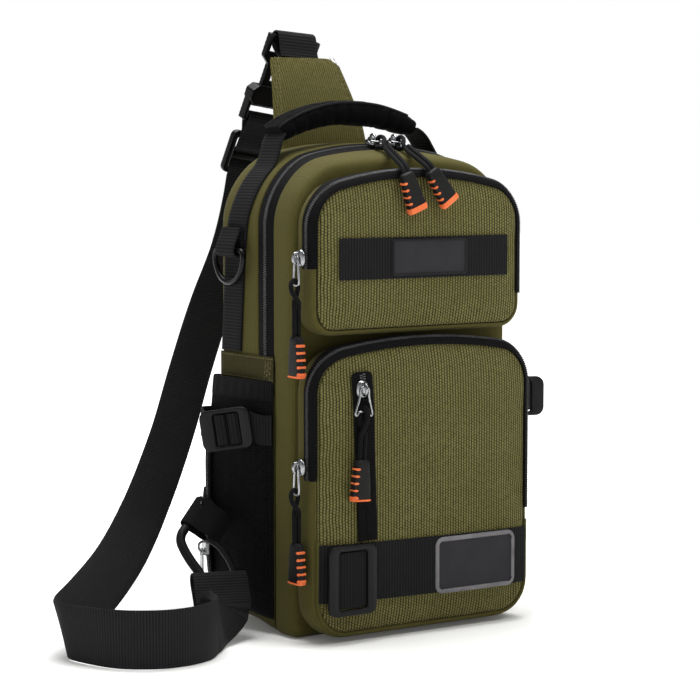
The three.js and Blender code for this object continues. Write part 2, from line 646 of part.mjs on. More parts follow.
// Ring that the hook hangs from, in a folded tab sewn into the left rear seam.
const linkUp = V(0.48, 0.8, 0.34).normalize();
const linkWide = hookFace.clone().addScaledVector(linkUp, -hookFace.dot(linkUp)).normalize();
const linkFace = linkWide.clone().cross(linkUp);
const linkAt = along(local(-8, 44.9, 0), linkUp, 7.6);
const linkRound = steps(16).slice(1).map((t) => {
  const [c, s] = [Math.cos(t * 2 * Math.PI), Math.sin(t * 2 * Math.PI)];
  return along(along(linkAt, linkUp, squarish(s, 0.4) * 7.6), linkWide, squarish(c, 0.4) * 11);
});
add("hook_ring", "plastic", rod(linkRound, 1.7, linkFace, { sides: 7, loop: true }));
const tabBar = along(linkAt, linkUp, 7.6);
const LINK_TAB = [
  { off: -1.2, up: 14 },
  { off: -3.1, up: 5 },
  { off: -3.2, up: 0 },
  { off: -2.3, up: -2.3 },
  { off: 0, up: -3.2 },
  { off: 2.3, up: -2.3 },
  { off: 3.2, up: 0 },
  { off: 2.8, up: 5 },
  { off: 0.8, up: 12 },
];
const sewn = [
  { at: V(-76, 50.4, 80), across: V(0, 0, 1), half: 6 },
  { at: V(-84, 50, 80), across: V(0, 0, 1), half: 6 },
  { at: V(-94, 50.7, 80), across: V(0, 0, 1), half: 6 },
  { at: V(-101.5, 50, 80.5), across: V(0, -0.3, 0.95).normalize(), half: 6 },
];
const linkTab = LINK_TAB.map((row) => ({
  at: along(along(tabBar, linkUp, row.up), linkFace, row.off),
  across: linkWide,
  half: 6,
}));
add("hook_tab", "webbing", ribbon([...sewn, ...linkTab], 1.2));

// Shoulder strap: down behind the bag, folded over on the floor at the left, back on edge to the hook.
// `turn` and `rise` give the way that the strap's width points.
const STRAP_HALF = 18.5;
const BUCKLE_FOLD = [
  { t: 72, n: -2.6 },
  { t: 66, n: -3.2 },
  { t: 61, n: -4 },
  { t: 57.8, n: -2.9 },
  { t: 56.4, n: 0 },
  { t: 57.8, n: 2.9 },
  { t: 61, n: 4 },
  { t: 66, n: 2.2 },
  { t: 70, n: 0 },
  { t: 72, n: -0.1 },
  { t: 82.6, n: 0 },
  { t: 83.6, n: 0.4 },
  { t: 87.8, n: 4.5 },
  { t: 89, n: 4.9 },
  { t: 93, n: 4.9 },
  { t: 94.2, n: 4.5 },
  { t: 98.4, n: 0.4 },
  { t: 105, n: 0 },
];
const STRAP_RUN = [
  { x: -20, y: 124, z: 283, turn: 0, rise: -8 },
  { x: -29, y: 124, z: 252, turn: 0, rise: -8 },
  { x: -50, y: 121, z: 211, turn: 4, rise: -8 },
  { x: -74, y: 110, z: 166, turn: 6, rise: -12 },
  { x: -99, y: 93, z: 124, turn: 6, rise: -16 },
  { x: -133, y: 70, z: 80, turn: 2, rise: -20 },
  { x: -166, y: 47, z: 50, turn: -6, rise: -26 },
  { x: -203, y: 22, z: 30, turn: -10, rise: -44 },
  { x: -230, y: 4, z: 20, turn: -10, rise: -68 },
  { x: -239, y: -10, z: 19, turn: 0, rise: -78 },
  { x: -235, y: -30, z: 19, turn: -20, rise: -84 },
  { x: -222, y: -56, z: 19, turn: -60, rise: -90 },
  { x: -198, y: -71, z: 19, turn: -60, rise: -90 },
  { x: -170, y: -68, z: 19, turn: -60, rise: -90 },
  { x: -151, y: -52, z: 19, turn: -40, rise: -90 },
  { x: -139, y: -34, z: 20, turn: -20, rise: -72 },
];
const HOOK_FOLD = [
  { up: -22, off: 5 },
  { up: -10, off: 4 },
  { up: 0, off: 4.3 },
  { up: 3.1, off: 3.1 },
  { up: 4.3, off: 0 },
  { up: 3.1, off: -3.1 },
  { up: 0, off: -4.3 },
  { up: -10, off: -3.6 },
  { up: -18, off: -3.4 },
];
const widthWay = (turn, rise) => {
  const [a, b] = [(turn * Math.PI) / 180, (rise * Math.PI) / 180];
  return V(Math.cos(b) * Math.cos(a), Math.cos(b) * Math.sin(a), Math.sin(b));
};
const looseEnds = [
  { at: chain(105, 0), across: chainWide },
  ...STRAP_RUN.map(({ x, y, z, turn, rise }) => ({ at: V(x, y, z), across: widthWay(turn, rise) })),
  { at: local(0, -22, 5), across: local(0.8, 0, -0.1).sub(local(0, 0, 0)).add(V(0, 0, -0.45)).normalize() },
];
const course = new THREE.CatmullRomCurve3(looseEnds.map((s) => s.at), false, "centripetal");
const loose = steps((looseEnds.length - 1) * 3).map((t) => {
  const place = t * (looseEnds.length - 1);
  const k = Math.min(Math.floor(place), looseEnds.length - 2);
  const across = looseEnds[k].across.clone().lerp(looseEnds[k + 1].across, place - k).normalize();
  return { at: course.getPoint(t), across, half: STRAP_HALF };
});
const strapStations = [
  ...BUCKLE_FOLD.slice(0, -1).map(({ t, n }) => ({ at: chain(t, n), across: chainWide, half: STRAP_HALF })),
  ...loose,
  ...HOOK_FOLD.slice(1).map(({ up, off }) => ({ at: local(0, up, off), across: hookWide, half: STRAP_HALF })),
];
add("shoulder_strap", "webbing", ribbon(strapStations, WEB));

// Zip sliders and pulls. Each slider has a bridge, a wire bail through it and a moulded pull on a cord.
const sliderPlate = [[-4.6, -5], [-3, -6], [3, -6], [4.6, -5], [4.6, 3], [2.6, 5.4], [-2.6, 5.4], [-4.6, 3]];
const bridge = [[-3.6, 2], [-3.2, 5], [-1.4, 6.4], [1.4, 6.4], [3.2, 5], [3.6, 2]]
  .map(([y, z]) => V(0, y, z));
const sliderBody = fused(
  plate(sliderPlate, [], 2.8).translate(0, 0, 1.4),
  rod(bridge, 0.95, V(1, 0, 0), { sides: 6 }),
);
const BAIL_LIFT = 4.1;
function bailWire(length, spread) {
  const points = [
    [-2.6, 0.6], [-1.2, 1.2], [1.2, 1.2], [2.6, 0.6], [3.6, -5], [4.4, -length + 2],
    [3.4, -length], [-3.4, -length], [-4.4, -length + 2], [-3.6, -5],
  ].map(([x, y]) => V(x * spread, y, BAIL_LIFT));
  return rod(points, 0.75, V(0, 0, 1), { sides: 5, loop: true });
}
const gripEdge = (side) => steps(4).flatMap((t) => {
  const y = lerp(-2.6, -20.6, t);
  const x = lerp(5, 6.9, t);
  return [[side * x, y], [side * (x - 0.9), y - 1.8]];
});
const gripPlan = [
  [-3.2, 0], [-5, -1], ...steps(1).map((t) => [lerp(-5.2, -7.1, t), lerp(-3, -24, t)]), [-5.8, -26.5],
  [5.8, -26.5], [7.1, -24], ...gripEdge(1).reverse(), [3.2, 0],
];

// A pull hangs from its bail along `points`, with `out` looking away from the cloth.
function pullBody(points, out, gripDown) {
  const lean = tangents(points);
  const front = Math.abs(out.z) > 0.5 ? V(0, -1, 0) : out;
  const sideways = gripDown.clone().cross(front).normalize();
  const spread = points.map((_, k) => lerp(2.3, 1.3, k / (points.length - 1)));
  const face = lean.map((run) => sideways.clone().cross(run).normalize());
  const strand = (s) => points.map((p, k) => along(p, face[k], s * spread[k]));
  const tip = along(points[0], lean[0], -2.3);
  const turn = [1, -1].map((s) => along(along(points[0], lean[0], -1.7), face[0], s * 1.7));
  const loop = [...strand(1).reverse(), turn[0], tip, turn[1], ...strand(-1)];
  const gripAt = along(points.at(-1), gripDown, -2);
  const gripFrame = frame(gripAt, sideways.clone().negate(), gripDown.clone().negate());
  const grip = plate(gripPlan, [], 6.4).applyMatrix4(gripFrame);
  return fused(rod(loop, 1.1, sideways, { sides: 6 }), grip);
}

// Slider, bail and pull of one zip; `hang` is the way the bail points.
function zipPull({ name, at, out, hang, bail, spread = 1, drape, gripDown }) {
  const place = frame(at, out.clone().cross(hang), hang.clone().negate());
  add(`${name}_slider`, "steel", sliderBody, place);
  add(`${name}_bail`, "steel", bailWire(bail, spread), place);
  const start = along(along(at, hang, bail), out, BAIL_LIFT);
  add(`${name}_pull`, "rubber", pullBody([start, ...drape(start)], out, gripDown));
}

const SEAT = 2.9;
const HANGING = [
  { name: "upper_pocket", at: V(-UPPER.half - SEAT, -54, 250.5), out: V(-1, 0, 0), spread: 0.65, cord: 35 },
  { name: "lower_pocket", at: V(-LOWER.half - SEAT, -59, 116), out: V(-1, 0, 0), spread: 0.65, cord: 33.5 },
  { name: "face", at: V(-54.6, -73, 166), out: V(0, -1, 0), lean: -0.05, cord: 30.5 },
];
for (const { name, at, out, spread, lean = 0, cord } of HANGING) {
  const hang = V(lean, 0, -1).normalize();
  const drape = (start) => [0.25, 0.6, 1].map((t) => along(start, hang, t * cord));
  zipPull({ name, at, out, hang, bail: 17, spread, drape, gripDown: hang });
}

// The main zip's two pulls drape forward over the top of the upper pocket.
const DRAPED = [
  {
    name: "left_main", at: V(-3, -11.7, 323.7), hang: V(-0.12, -0.96, -0.25), gripDown: V(8.1, 0, -20.3),
    drape: [{ x: -6.5, y: -32, z: 322.5 }, { x: -9.5, y: -42, z: 319 }, { x: -13, y: -55, z: 314 },
      { x: -16, y: -67, z: 308.5 }, { x: -16.8, y: -70.6, z: 303 }],
  },
  {
    name: "right_main", at: V(14.4, -11.7, 323.3), hang: V(-0.16, -0.95, -0.25), gripDown: V(13.2, 0, -18.4),
    drape: [{ x: 10, y: -32, z: 322.3 }, { x: 7.5, y: -42, z: 319 }, { x: 5, y: -55, z: 314.5 },
      { x: 3.4, y: -67, z: 309.5 }, { x: 4, y: -70.8, z: 305 }],
  },
];
for (const { name, at, hang, gripDown, drape } of DRAPED) {
  const run = hang.clone().normalize();
  const out = V(0, 0, 1).addScaledVector(run, -run.z).normalize();
  const over = () => drape.map(({ x, y, z }) => V(x, y, z));
  zipPull({ name, at, out, hang: run, bail: 9, drape: over, gripDown: gripDown.clone().normalize() });
}

// Slider of the rear zip, with a plain metal tongue.
const rearAt = along(V(-88 - 11.5, 40.2, 52), rearOut, 2.9);
const rearFrame = frame(rearAt, rearAcross.clone().negate(), V(0, 0, 1));
add("rear_slider", "steel", sliderBody, rearFrame);
const tongue = plate(box2(-2.6, -19, 2.6, 2.4, 1), [box2(-1.4, -2.4, 1.4, 1.1)], 1);
add("rear_tongue", "steel", tongue.translate(0, -3.3, 4.2), rearFrame);

export default bag;
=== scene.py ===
import math

import bmesh
import bpy
import numpy as np
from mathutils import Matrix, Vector
from mathutils.bvhtree import BVHTree


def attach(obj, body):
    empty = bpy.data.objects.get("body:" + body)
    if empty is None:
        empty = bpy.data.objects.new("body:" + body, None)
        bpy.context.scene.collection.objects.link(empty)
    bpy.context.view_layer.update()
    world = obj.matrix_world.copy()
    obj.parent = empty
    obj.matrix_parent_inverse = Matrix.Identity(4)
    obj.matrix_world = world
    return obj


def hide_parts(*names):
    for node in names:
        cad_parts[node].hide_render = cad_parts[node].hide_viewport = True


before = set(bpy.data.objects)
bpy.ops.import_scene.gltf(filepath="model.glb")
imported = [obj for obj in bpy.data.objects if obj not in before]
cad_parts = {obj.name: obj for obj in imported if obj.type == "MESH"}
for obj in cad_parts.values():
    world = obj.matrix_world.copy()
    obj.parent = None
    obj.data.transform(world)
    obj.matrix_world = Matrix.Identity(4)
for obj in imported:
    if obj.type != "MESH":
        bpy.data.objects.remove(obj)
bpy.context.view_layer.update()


# Studio: the bag stands on white paper that glows more away from the bag, in a surround that is white round
# the horizon and dimmer overhead. Soft boxes hang close above the front, over the top and at the left.
def linear(colour):
    parts = [int(colour[k:k + 2], 16) / 255 for k in (1, 3, 5)]
    return (*(p / 12.92 if p <= 0.04045 else ((p + 0.055) / 1.055) ** 2.4 for p in parts), 1.0)


def add(tree, kind, sockets, **settings):
    """New shader node. A socket takes a constant, another node's output, or a node for its first output."""
    made = tree.nodes.new("ShaderNode" + kind)
    for name, value in settings.items():
        setattr(made, name, value)
    for name, value in sockets.items():
        if isinstance(value, bpy.types.Node):
            value = next(output for output in value.outputs if output.enabled)
        if isinstance(value, bpy.types.NodeSocket):
            tree.links.new(value, made.inputs[name])
        else:
            made.inputs[name].default_value = value
    return made


def blank_material(name):
    """New material, its nodes and the place of a point on the piece, in metres."""
    made = bpy.data.materials.new(name)
    made.use_nodes = True
    made.node_tree.nodes.clear()
    return made, made.node_tree, add(made.node_tree, "TexCoord", {}).outputs["Object"]


MM = 0.001
LENS_AT = (-0.903495, -1.293368, 0.317340)
LENS_AIM = (-0.014487, -0.002027, 0.184340)
lens = bpy.data.objects.new("camera", bpy.data.cameras.new("camera"))
lens.data.sensor_width = 36.0
lens.data.lens = 119.02
lens.location = LENS_AT
lens.rotation_euler = (Vector(LENS_AIM) - Vector(LENS_AT)).to_track_quat("-Z", "Y").to_euler()
bpy.context.collection.objects.link(lens)
bpy.context.scene.camera = lens
bpy.context.scene.view_settings.view_transform = "Standard"

surround = bpy.data.worlds.new("white_surround")
surround.use_nodes = True
surround.node_tree.nodes.clear()
tree = surround.node_tree
toward = add(tree, "TexCoord", {})
rise = add(tree, "SeparateXYZ", {"Vector": toward.outputs["Generated"]})
dim = add(tree, "MapRange", {"Value": rise.outputs["Z"], "From Min": 0.08, "From Max": 0.3,
                             "To Min": 1.0, "To Max": 0.25})
glow = add(tree, "Background", {"Color": linear("#ffffff"), "Strength": dim})
add(tree, "OutputWorld", {"Surface": glow})
bpy.context.scene.world = surround
SOFT_BOXES = {
    "soft_box_front": ((0.3, -0.62, 0.98), (0.5, 0.5), 4.0),
    "soft_box_left": ((-1.3, 0.0, 1.0), (0.6, 1.0), 1.0),
    "soft_box_top": ((0.0, 0.15, 1.25), (0.9, 0.9), 24.0),
}
BOX_AIM = Vector((0, 0, 0.17))
for name, (at, size, power) in SOFT_BOXES.items():
    light = bpy.data.lights.new(name, "AREA")
    light.shape = "RECTANGLE"
    light.size, light.size_y = size
    light.energy = power
    box = bpy.data.objects.new(name, light)
    box.location = at
    box.rotation_euler = (BOX_AIM - Vector(at)).to_track_quat("-Z", "Y").to_euler()
    bpy.context.collection.objects.link(box)

# Matt paper with a painted glow, an emission with no lamp below it: an even white with a faint fibre in its
# gloss and only a pale shadow. The glow is weak close to the bag, a painted shadow round it, and full
# further out.
paper, tree, spot = blank_material("matt_white_paper")
reach = add(tree, "VectorMath", {0: spot}, operation="LENGTH")
# Painted shadow: the glow fades to almost nothing within 0.2 m of the bag's middle.
painted_glow = add(tree, "MapRange", {"Value": reach, "From Min": 0.2, "From Max": 0.7,
                             "To Min": 0.05, "To Max": 1.0})
fibre = add(tree, "TexNoise", {"Vector": spot, "Scale": 1 / 0.004, "Detail": 2.0})
gloss = add(tree, "MapRange", {"Value": fibre, "To Min": 0.8, "To Max": 0.95})
coat = add(tree, "BsdfPrincipled", {
    "Base Color": linear("#f6f6f4"), "Roughness": gloss, "Specular IOR Level": 0.05,
    "Emission Color": linear("#ffffff"), "Emission Strength": painted_glow})
add(tree, "OutputMaterial", {"Surface": coat})
PAPER_HALF = 6.0
corners = [(-PAPER_HALF, -PAPER_HALF, 0), (PAPER_HALF, -PAPER_HALF, 0),
           (PAPER_HALF, PAPER_HALF, 0), (-PAPER_HALF, PAPER_HALF, 0)]
floor_mesh = bpy.data.meshes.new("paper_floor")
floor_mesh.from_pydata(corners, [], [(0, 1, 2, 3)])
floor_mesh.materials.append(paper)
paper_floor = bpy.data.objects.new("paper_floor", floor_mesh)
bpy.context.collection.objects.link(paper_floor)


# Back of the body: a tub of olive pack cloth, cut from one strip round the side and one back panel, with a
# thin sheet of foam in the back panel. Its rim is sewn to the main zip above and to the front below the
# side bands.
def outline(form, inset, y):
    """Points (x, z) of a form's edge at a depth, from mid-bottom up the right side and down the left."""
    crown = np.interp(y, form["depth"], form["crown"])
    low_r = max(np.interp(y, form["depth"], form["low_radius"]) - inset, 1.0)
    top_r = max(form["top_radius"] - inset, 1.0)
    x, low, high = form["half"] - inset, form["bottom"] + inset, form["top"] - inset
    bottom_n, low_n, side_n, high_n, top_n = form["counts"]

    def line(a, b, n):
        t = np.arange(n)[:, None] / n
        return np.array(a) * (1 - t) + np.array(b) * t

    def arc(cx, cz, radius, start, n):
        a = np.radians(start + 90 * np.arange(n) / n)
        return np.stack([cx + radius * np.cos(a), cz + radius * np.sin(a)], 1)

    right = np.concatenate([
        line((0, low), (x - low_r, low), bottom_n),
        arc(x - low_r, low + low_r, low_r, -90, low_n),
        line((x, low + low_r), (x, high - top_r), side_n),
        arc(x - top_r, high - top_r, top_r, 0, high_n),
        line((x - top_r, high), (0, high), top_n),
        [(0, high)],
    ])
    left = right[1:-1][::-1] * (-1, 1)
    ring = np.concatenate([right, left])
    rise = crown * (1 - (ring[:, 0] / form["half"]) ** 2) * (ring[:, 1] - low) / (high - low)
    ring[:, 1] += np.maximum(rise, 0)
    return ring


def ring_at(form, inset, y):
    flat = outline(form, inset, y)
    return np.stack([flat[:, 0], np.full(len(flat), float(y)), flat[:, 1]], 1)


def loft(rows, columns, loop=False, ends="both", wrap=True):
    """Faces between rows of points, each closed on itself unless wrap is off. ends says which get a cap."""
    faces = []
    for r in range(rows if loop else rows - 1):
        near, far = r * columns, (r + 1) % rows * columns
        for c in range(columns if wrap else columns - 1):
            d = (c + 1) % columns
            faces.append((near + c, near + d, far + d, far + c))
    if ends == "both" and not loop:
        faces.append(tuple(range(columns))[::-1])
    if ends and not loop:
        faces.append(tuple(range((rows - 1) * columns, rows * columns)))
    return faces


def piece(name, points, faces, finish, thread=None, away=None, crease=50):
    """New object from points in millimetres. An open skin is turned to look away from the point `away`."""
    mesh = bpy.data.meshes.new(name)
    mesh.from_pydata((np.asarray(points) * MM).tolist(), [], faces)
    if thread is not None:
        lay = mesh.attributes.new("thread", "FLOAT_VECTOR", "POINT")
        lay.data.foreach_set("vector", np.asarray(thread, "f").ravel())
    work = bmesh.new()
    work.from_mesh(mesh)
    bmesh.ops.triangulate(work, faces=[f for f in work.faces if len(f.verts) > 20])
    bmesh.ops.recalc_face_normals(work, faces=work.faces)
    if away is not None:
        middle = Vector(away) * MM
        lean = sum(f.normal.dot(f.calc_center_median() - middle) * f.calc_area() for f in work.faces)
        if lean < 0:
            bmesh.ops.reverse_faces(work, faces=work.faces)
    work.to_mesh(mesh)
    work.free()
    mesh.shade_smooth()
    mesh.set_sharp_from_angle(angle=math.radians(crease))
    mesh.materials.append(finish)
    made = bpy.data.objects.new(name, mesh)
    bpy.context.collection.objects.link(made)
    return made


def lofted(name, rows, finish, loop=False, ends="both", wrap=True, **rest):
    faces = loft(len(rows), len(rows[0]), loop, ends, wrap)
    return piece(name, np.concatenate(rows), faces, finish, **rest)


def fix(made, slot, *nodes, body="bag"):
    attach(made, body)
    if nodes:
        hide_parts(*nodes)
    return made


def settle(made):
    """Turn the piece's modifiers into plain mesh."""
    ready = made.evaluated_get(bpy.context.evaluated_depsgraph_get())
    made.data = bpy.data.meshes.new_from_object(ready)
    made.modifiers.clear()
    return made


def thicken(made, thickness, levels=1):
    """Give a skin its cloth thickness on the inner side and round it off."""
    wall = made.modifiers.new("cloth_wall", "SOLIDIFY")
    wall.thickness = thickness * MM
    wall.offset = -1
    if levels:
        made.modifiers.new("smooth_cloth", "SUBSURF").levels = levels
        made.modifiers["smooth_cloth"].render_levels = levels
    return settle(made)


CLOTH_STEPS = 18


def inflate(made, sewn, pressure, cap, spare=0.01):
    """Let cloth swell out from its sewn points with a little spare cloth, by no more than cap millimetres."""
    count = len(made.data.vertices)
    before = np.empty(count * 3)
    made.data.vertices.foreach_get("co", before)
    made.vertex_groups.new(name="sewn").add([int(k) for k in sewn], 1.0, "REPLACE")
    swell = made.modifiers.new("swell", "CLOTH")
    cloth = swell.settings
    cloth.quality = 6
    cloth.mass = 0.25
    cloth.tension_stiffness = cloth.compression_stiffness = 15.0
    cloth.shear_stiffness = 5.0
    cloth.bending_stiffness = 0.4
    cloth.vertex_group_mass = "sewn"
    cloth.use_pressure = True
    cloth.uniform_pressure_force = pressure
    cloth.shrink_min = -spare
    cloth.effector_weights.gravity = 0.0
    swell.collision_settings.use_collision = False
    swell.point_cache.frame_end = CLOTH_STEPS
    for step in range(1, CLOTH_STEPS + 1):
        bpy.context.scene.frame_set(step)
    ready = made.evaluated_get(bpy.context.evaluated_depsgraph_get())
    after = np.empty(count * 3)
    ready.data.vertices.foreach_get("co", after)
    made.modifiers.clear()
    made.vertex_groups.clear()
    bpy.context.scene.frame_set(1)
    move = (after - before).reshape(-1, 3)
    size = np.linalg.norm(move, axis=1, keepdims=True)
    move *= np.minimum(1.0, cap * MM / np.maximum(size, 1e-9))
    made.data.vertices.foreach_set("co", before + move.ravel())
    made.data.update()


# Woven nylon or polyester: thick threads run up the cloth and show as beads between the thin threads that
# cross them. Real threads lie about 0.6 mm apart. They are drawn coarser, so that the weave shows. The
# colour follows the threads' height: the beads take the pale tone as a painted highlight and the gaps
# between threads the dark tone as painted shade.
def woven_cloth(name, high, low, pitch, relief, worn, slubs=0.25, shine=0.1):
    made, tree, spot = blank_material(name)
    place = add(tree, "SeparateXYZ", {"Vector": spot})
    facing = add(tree, "VectorMath", {0: spot.node.outputs["Normal"]}, operation="ABSOLUTE")
    look = add(tree, "SeparateXYZ", {"Vector": facing})
    side_rest = add(tree, "Math", {0: look.outputs["Y"], 1: look.outputs["Z"]}, operation="MAXIMUM")
    side = add(tree, "Math", {0: look.outputs["X"], 1: side_rest}, operation="GREATER_THAN")
    top_rest = add(tree, "Math", {0: look.outputs["X"], 1: look.outputs["Y"]}, operation="MAXIMUM")
    top = add(tree, "Math", {0: look.outputs["Z"], 1: top_rest}, operation="GREATER_THAN")
    across = add(tree, "Mix", {"Factor": side, "A": place.outputs["X"], "B": place.outputs["Y"]})
    along = add(tree, "Mix", {"Factor": top, "A": place.outputs["Z"], "B": place.outputs["Y"]})
    lanes = add(tree, "Math", {0: across, 1: 1 / (pitch[0] * MM)}, operation="MULTIPLY")
    lane = add(tree, "Math", {0: lanes}, operation="FLOOR")
    odd = add(tree, "Math", {0: lane, 1: 2.0}, operation="FLOORED_MODULO")
    level = add(tree, "Math", {0: along, 1: 1 / (pitch[1] * MM)}, operation="MULTIPLY")
    beads = add(tree, "Math", {0: odd, 1: 0.5, 2: level}, operation="MULTIPLY_ADD")
    strands = []
    for way in (lanes, beads):
        turn = add(tree, "Math", {0: way, 1: math.pi}, operation="MULTIPLY")
        wave = add(tree, "Math", {0: turn}, operation="SINE")
        strands.append(add(tree, "Math", {0: wave}, operation="ABSOLUTE"))
    bead = add(tree, "Math", {0: strands[1], 1: 0.65, 2: 0.35}, operation="MULTIPLY_ADD")
    weave = add(tree, "Math", {0: strands[0], 1: bead}, operation="MULTIPLY")
    patchy = add(tree, "TexNoise", {"Vector": spot, "Scale": 1 / 0.035, "Detail": 3.0})
    slub = add(tree, "TexNoise", {"Vector": spot, "Scale": 1 / 0.0022, "Detail": 1.0})
    soft = add(tree, "Mix", {"Factor": slubs, "A": weave, "B": slub})
    # Painted light: the pale tone lies on the thread beads as a painted highlight and the dark tone in the
    # gaps as painted shade.
    painted_bead_light_gap_shade = add(tree, "MapRange", {"Value": soft, "From Min": 0.2, "From Max": 0.75})
    tone = add(tree, "Mix", {"Factor": painted_bead_light_gap_shade, "A": linear(low), "B": linear(high)},
               data_type="RGBA")
    fade = add(tree, "MapRange", {"Value": patchy, "From Min": 0.3, "From Max": 0.75,
                                  "To Min": 0.0, "To Max": 0.3})
    shade = add(tree, "Mix", {"Factor": fade, "A": tone, "B": linear(worn)},
                data_type="RGBA")
    rough = add(tree, "MapRange", {"Value": soft, "To Min": 0.95, "To Max": 0.78})
    bump = add(tree, "Bump", {"Height": soft, "Strength": relief, "Distance": 0.4 * MM})
    skin = add(tree, "BsdfPrincipled", {
        "Base Color": shade, "Roughness": rough,
        "Normal": bump, "IOR": 1.46, "Specular IOR Level": shine,
        "Sheen Weight": 0.02, "Sheen Roughness": 0.5})
    add(tree, "OutputMaterial", {"Surface": skin})
    return made


pack_cloth = woven_cloth("olive_nylon_pack_cloth", "#4d4925", "#403c1c", (1.7, 1.4), 0.2, "#3d391a", 0.4)
BODY = {
    "half": 88.0, "bottom": 0.0, "top": 306.0, "top_radius": 36.0,
    "depth": [-60, -43, -22, -1.5, 20, 60], "crown": [9, 9, 13.8, 18.7, 18.7, 18.7],
    "low_radius": [8, 8, 8, 16, 25, 30], "counts": (14, 8, 56, 12, 13),
}
SHELL_CLOTH, ZIP_BACK, ZIP_FRONT = 1.8, -1.5, -22.0
BAND_TOP, BAND_BOTTOM = 184.5, 167.3
upper_rim, lower_rim = ring_at(BODY, 0, ZIP_BACK), ring_at(BODY, 0, ZIP_FRONT + 0.3)
rim = np.where((upper_rim[:, 2] > BAND_TOP - 2)[:, None], upper_rim, lower_rim)
BACK_WALL = [(0, 7), (0, 15), (0, 23), (0, 31), (0, 38), (0.4, 41.5), (1.3, 44.5), (2.8, 46.8), (4.4, 47.9)]
rings = [rim] + [ring_at(BODY, inset, y) for inset, y in BACK_WALL]
back_side = lofted("back_shell_side", rings, pack_cloth, ends="", away=(0, 30, 150))
fix(thicken(back_side, SHELL_CLOTH), "body_cloth", "back_shell")
BACK_PANEL = [(4.0, 47.2), (5.2, 48.4), (7.5, 49.1), (12, 49.8), (20, 50.5), (30, 51), (40, 51.4), (50, 51.8),
              (60, 52.1), (70, 52.3), (80, 52.4), (86, 52.5)]
rings = [ring_at(BODY, inset, y) for inset, y in BACK_PANEL]
back_panel = lofted("back_shell_panel", rings, pack_cloth, ends="last", away=(0, 0, 150))
inflate(back_panel, range(2 * len(rim)), 3.0, 1.6)
fix(thicken(back_panel, SHELL_CLOTH), "body_cloth", "back_shell")

# Front of the body: a shallow tub of the same pack cloth, sewn to the front edge of the main zip. The
# pockets cover most of its face, and a narrow strip of it shows round them. Its rear edge covers part of
# the zip's tape.
FLAP, FLAP_ROOT = -20.5, -31
FRONT_WALL = [(0, FLAP_ROOT), (0, -36), (0.4, -39), (1.4, -41), (2.9, -42.3), (5, -43)]
FRONT_WALL += [(inset, -43.2) for inset in (10, 18, 30, 44, 58, 72, 86)]
rings = []
for share in (0, 0.12, 0.4, 0.7):
    flap, below = (ring_at(BODY, 0, y * (1 - share) + FLAP_ROOT * share) for y in (FLAP, ZIP_FRONT))
    rings.append(np.where((flap[:, 2] > BAND_TOP - 2)[:, None], flap, below))
rings += [ring_at(BODY, inset, y) for inset, y in FRONT_WALL]
front_shell = lofted("front_shell_cloth", rings, pack_cloth, ends="last", away=(0, 0, 150))
fix(thicken(front_shell, SHELL_CLOTH), "body_cloth", "front_shell")


# Main zip: black polyester tape round the top and sides of the body with a nylon coil sewn along its
# middle. The coil is two rows of moulded loops, and each loop shows as a pale dot, partly from its gloss
# and partly from the painted highlight in its colour.
def pill(length, wide, tall, sides=7):
    """Rounded bar along X, as points and faces."""
    stations = [(-0.5, 0.4), (-0.4, 0.85), (0.0, 1.0), (0.4, 0.85), (0.5, 0.4)]
    turn = 2 * np.pi * np.arange(sides) / sides
    y, z = wide / 2 * np.cos(turn), tall / 2 * np.sin(turn)
    rows = [np.stack(np.broadcast_arrays(s * length, g * y, g * z), 1) for s, g in stations]
    return np.concatenate(rows), loft(len(rows), sides)


def scatter(name, shape, origins, ways, finish, crease=60):
    """Copies of one small shape, each with its own origin and three axes."""
    points, faces = shape
    count = len(points)
    ex, ey, ez = (np.broadcast_to(w, np.shape(origins))[:, None, :] for w in ways)
    placed = (np.asarray(origins)[:, None, :] + points[None, :, :1] * ex + points[None, :, 1:2] * ey
              + points[None, :, 2:] * ez)
    all_faces = [tuple(k * count + i for i in face) for k in range(len(origins)) for face in faces]
    return piece(name, placed.reshape(-1, 3), all_faces, finish, crease=crease)


def lengthwise(points):
    """How far along a line each of its points lies."""
    return np.concatenate([[0], np.cumsum(np.linalg.norm(np.diff(points, axis=0), axis=1))])


def unit(v):
    """A direction, or each row of directions, made one long."""
    v = np.asarray(v, float)
    return v / np.linalg.norm(v, axis=-1, keepdims=True)


def between(where, run, values):
    return np.stack([np.interp(where, run, values[:, k]) for k in range(3)], -1)


def resample(points, pitch, start, *carried):
    """Evenly spaced points along a line, with the direction of the line and any carried values at each."""
    run = lengthwise(points)
    stops = np.arange(start, run[-1], pitch)
    ways = unit(between(stops + 0.5, run, points) - between(stops - 0.5, run, points))
    return between(stops, run, points), ways, *(between(stops, run, values) for values in carried)


def threads(widths, run):
    """Where each point of a band lies across and along its threads."""
    return np.stack([np.stack(np.broadcast_arrays(w, run, 0.0), 1) for w in widths], 1).reshape(-1, 3)


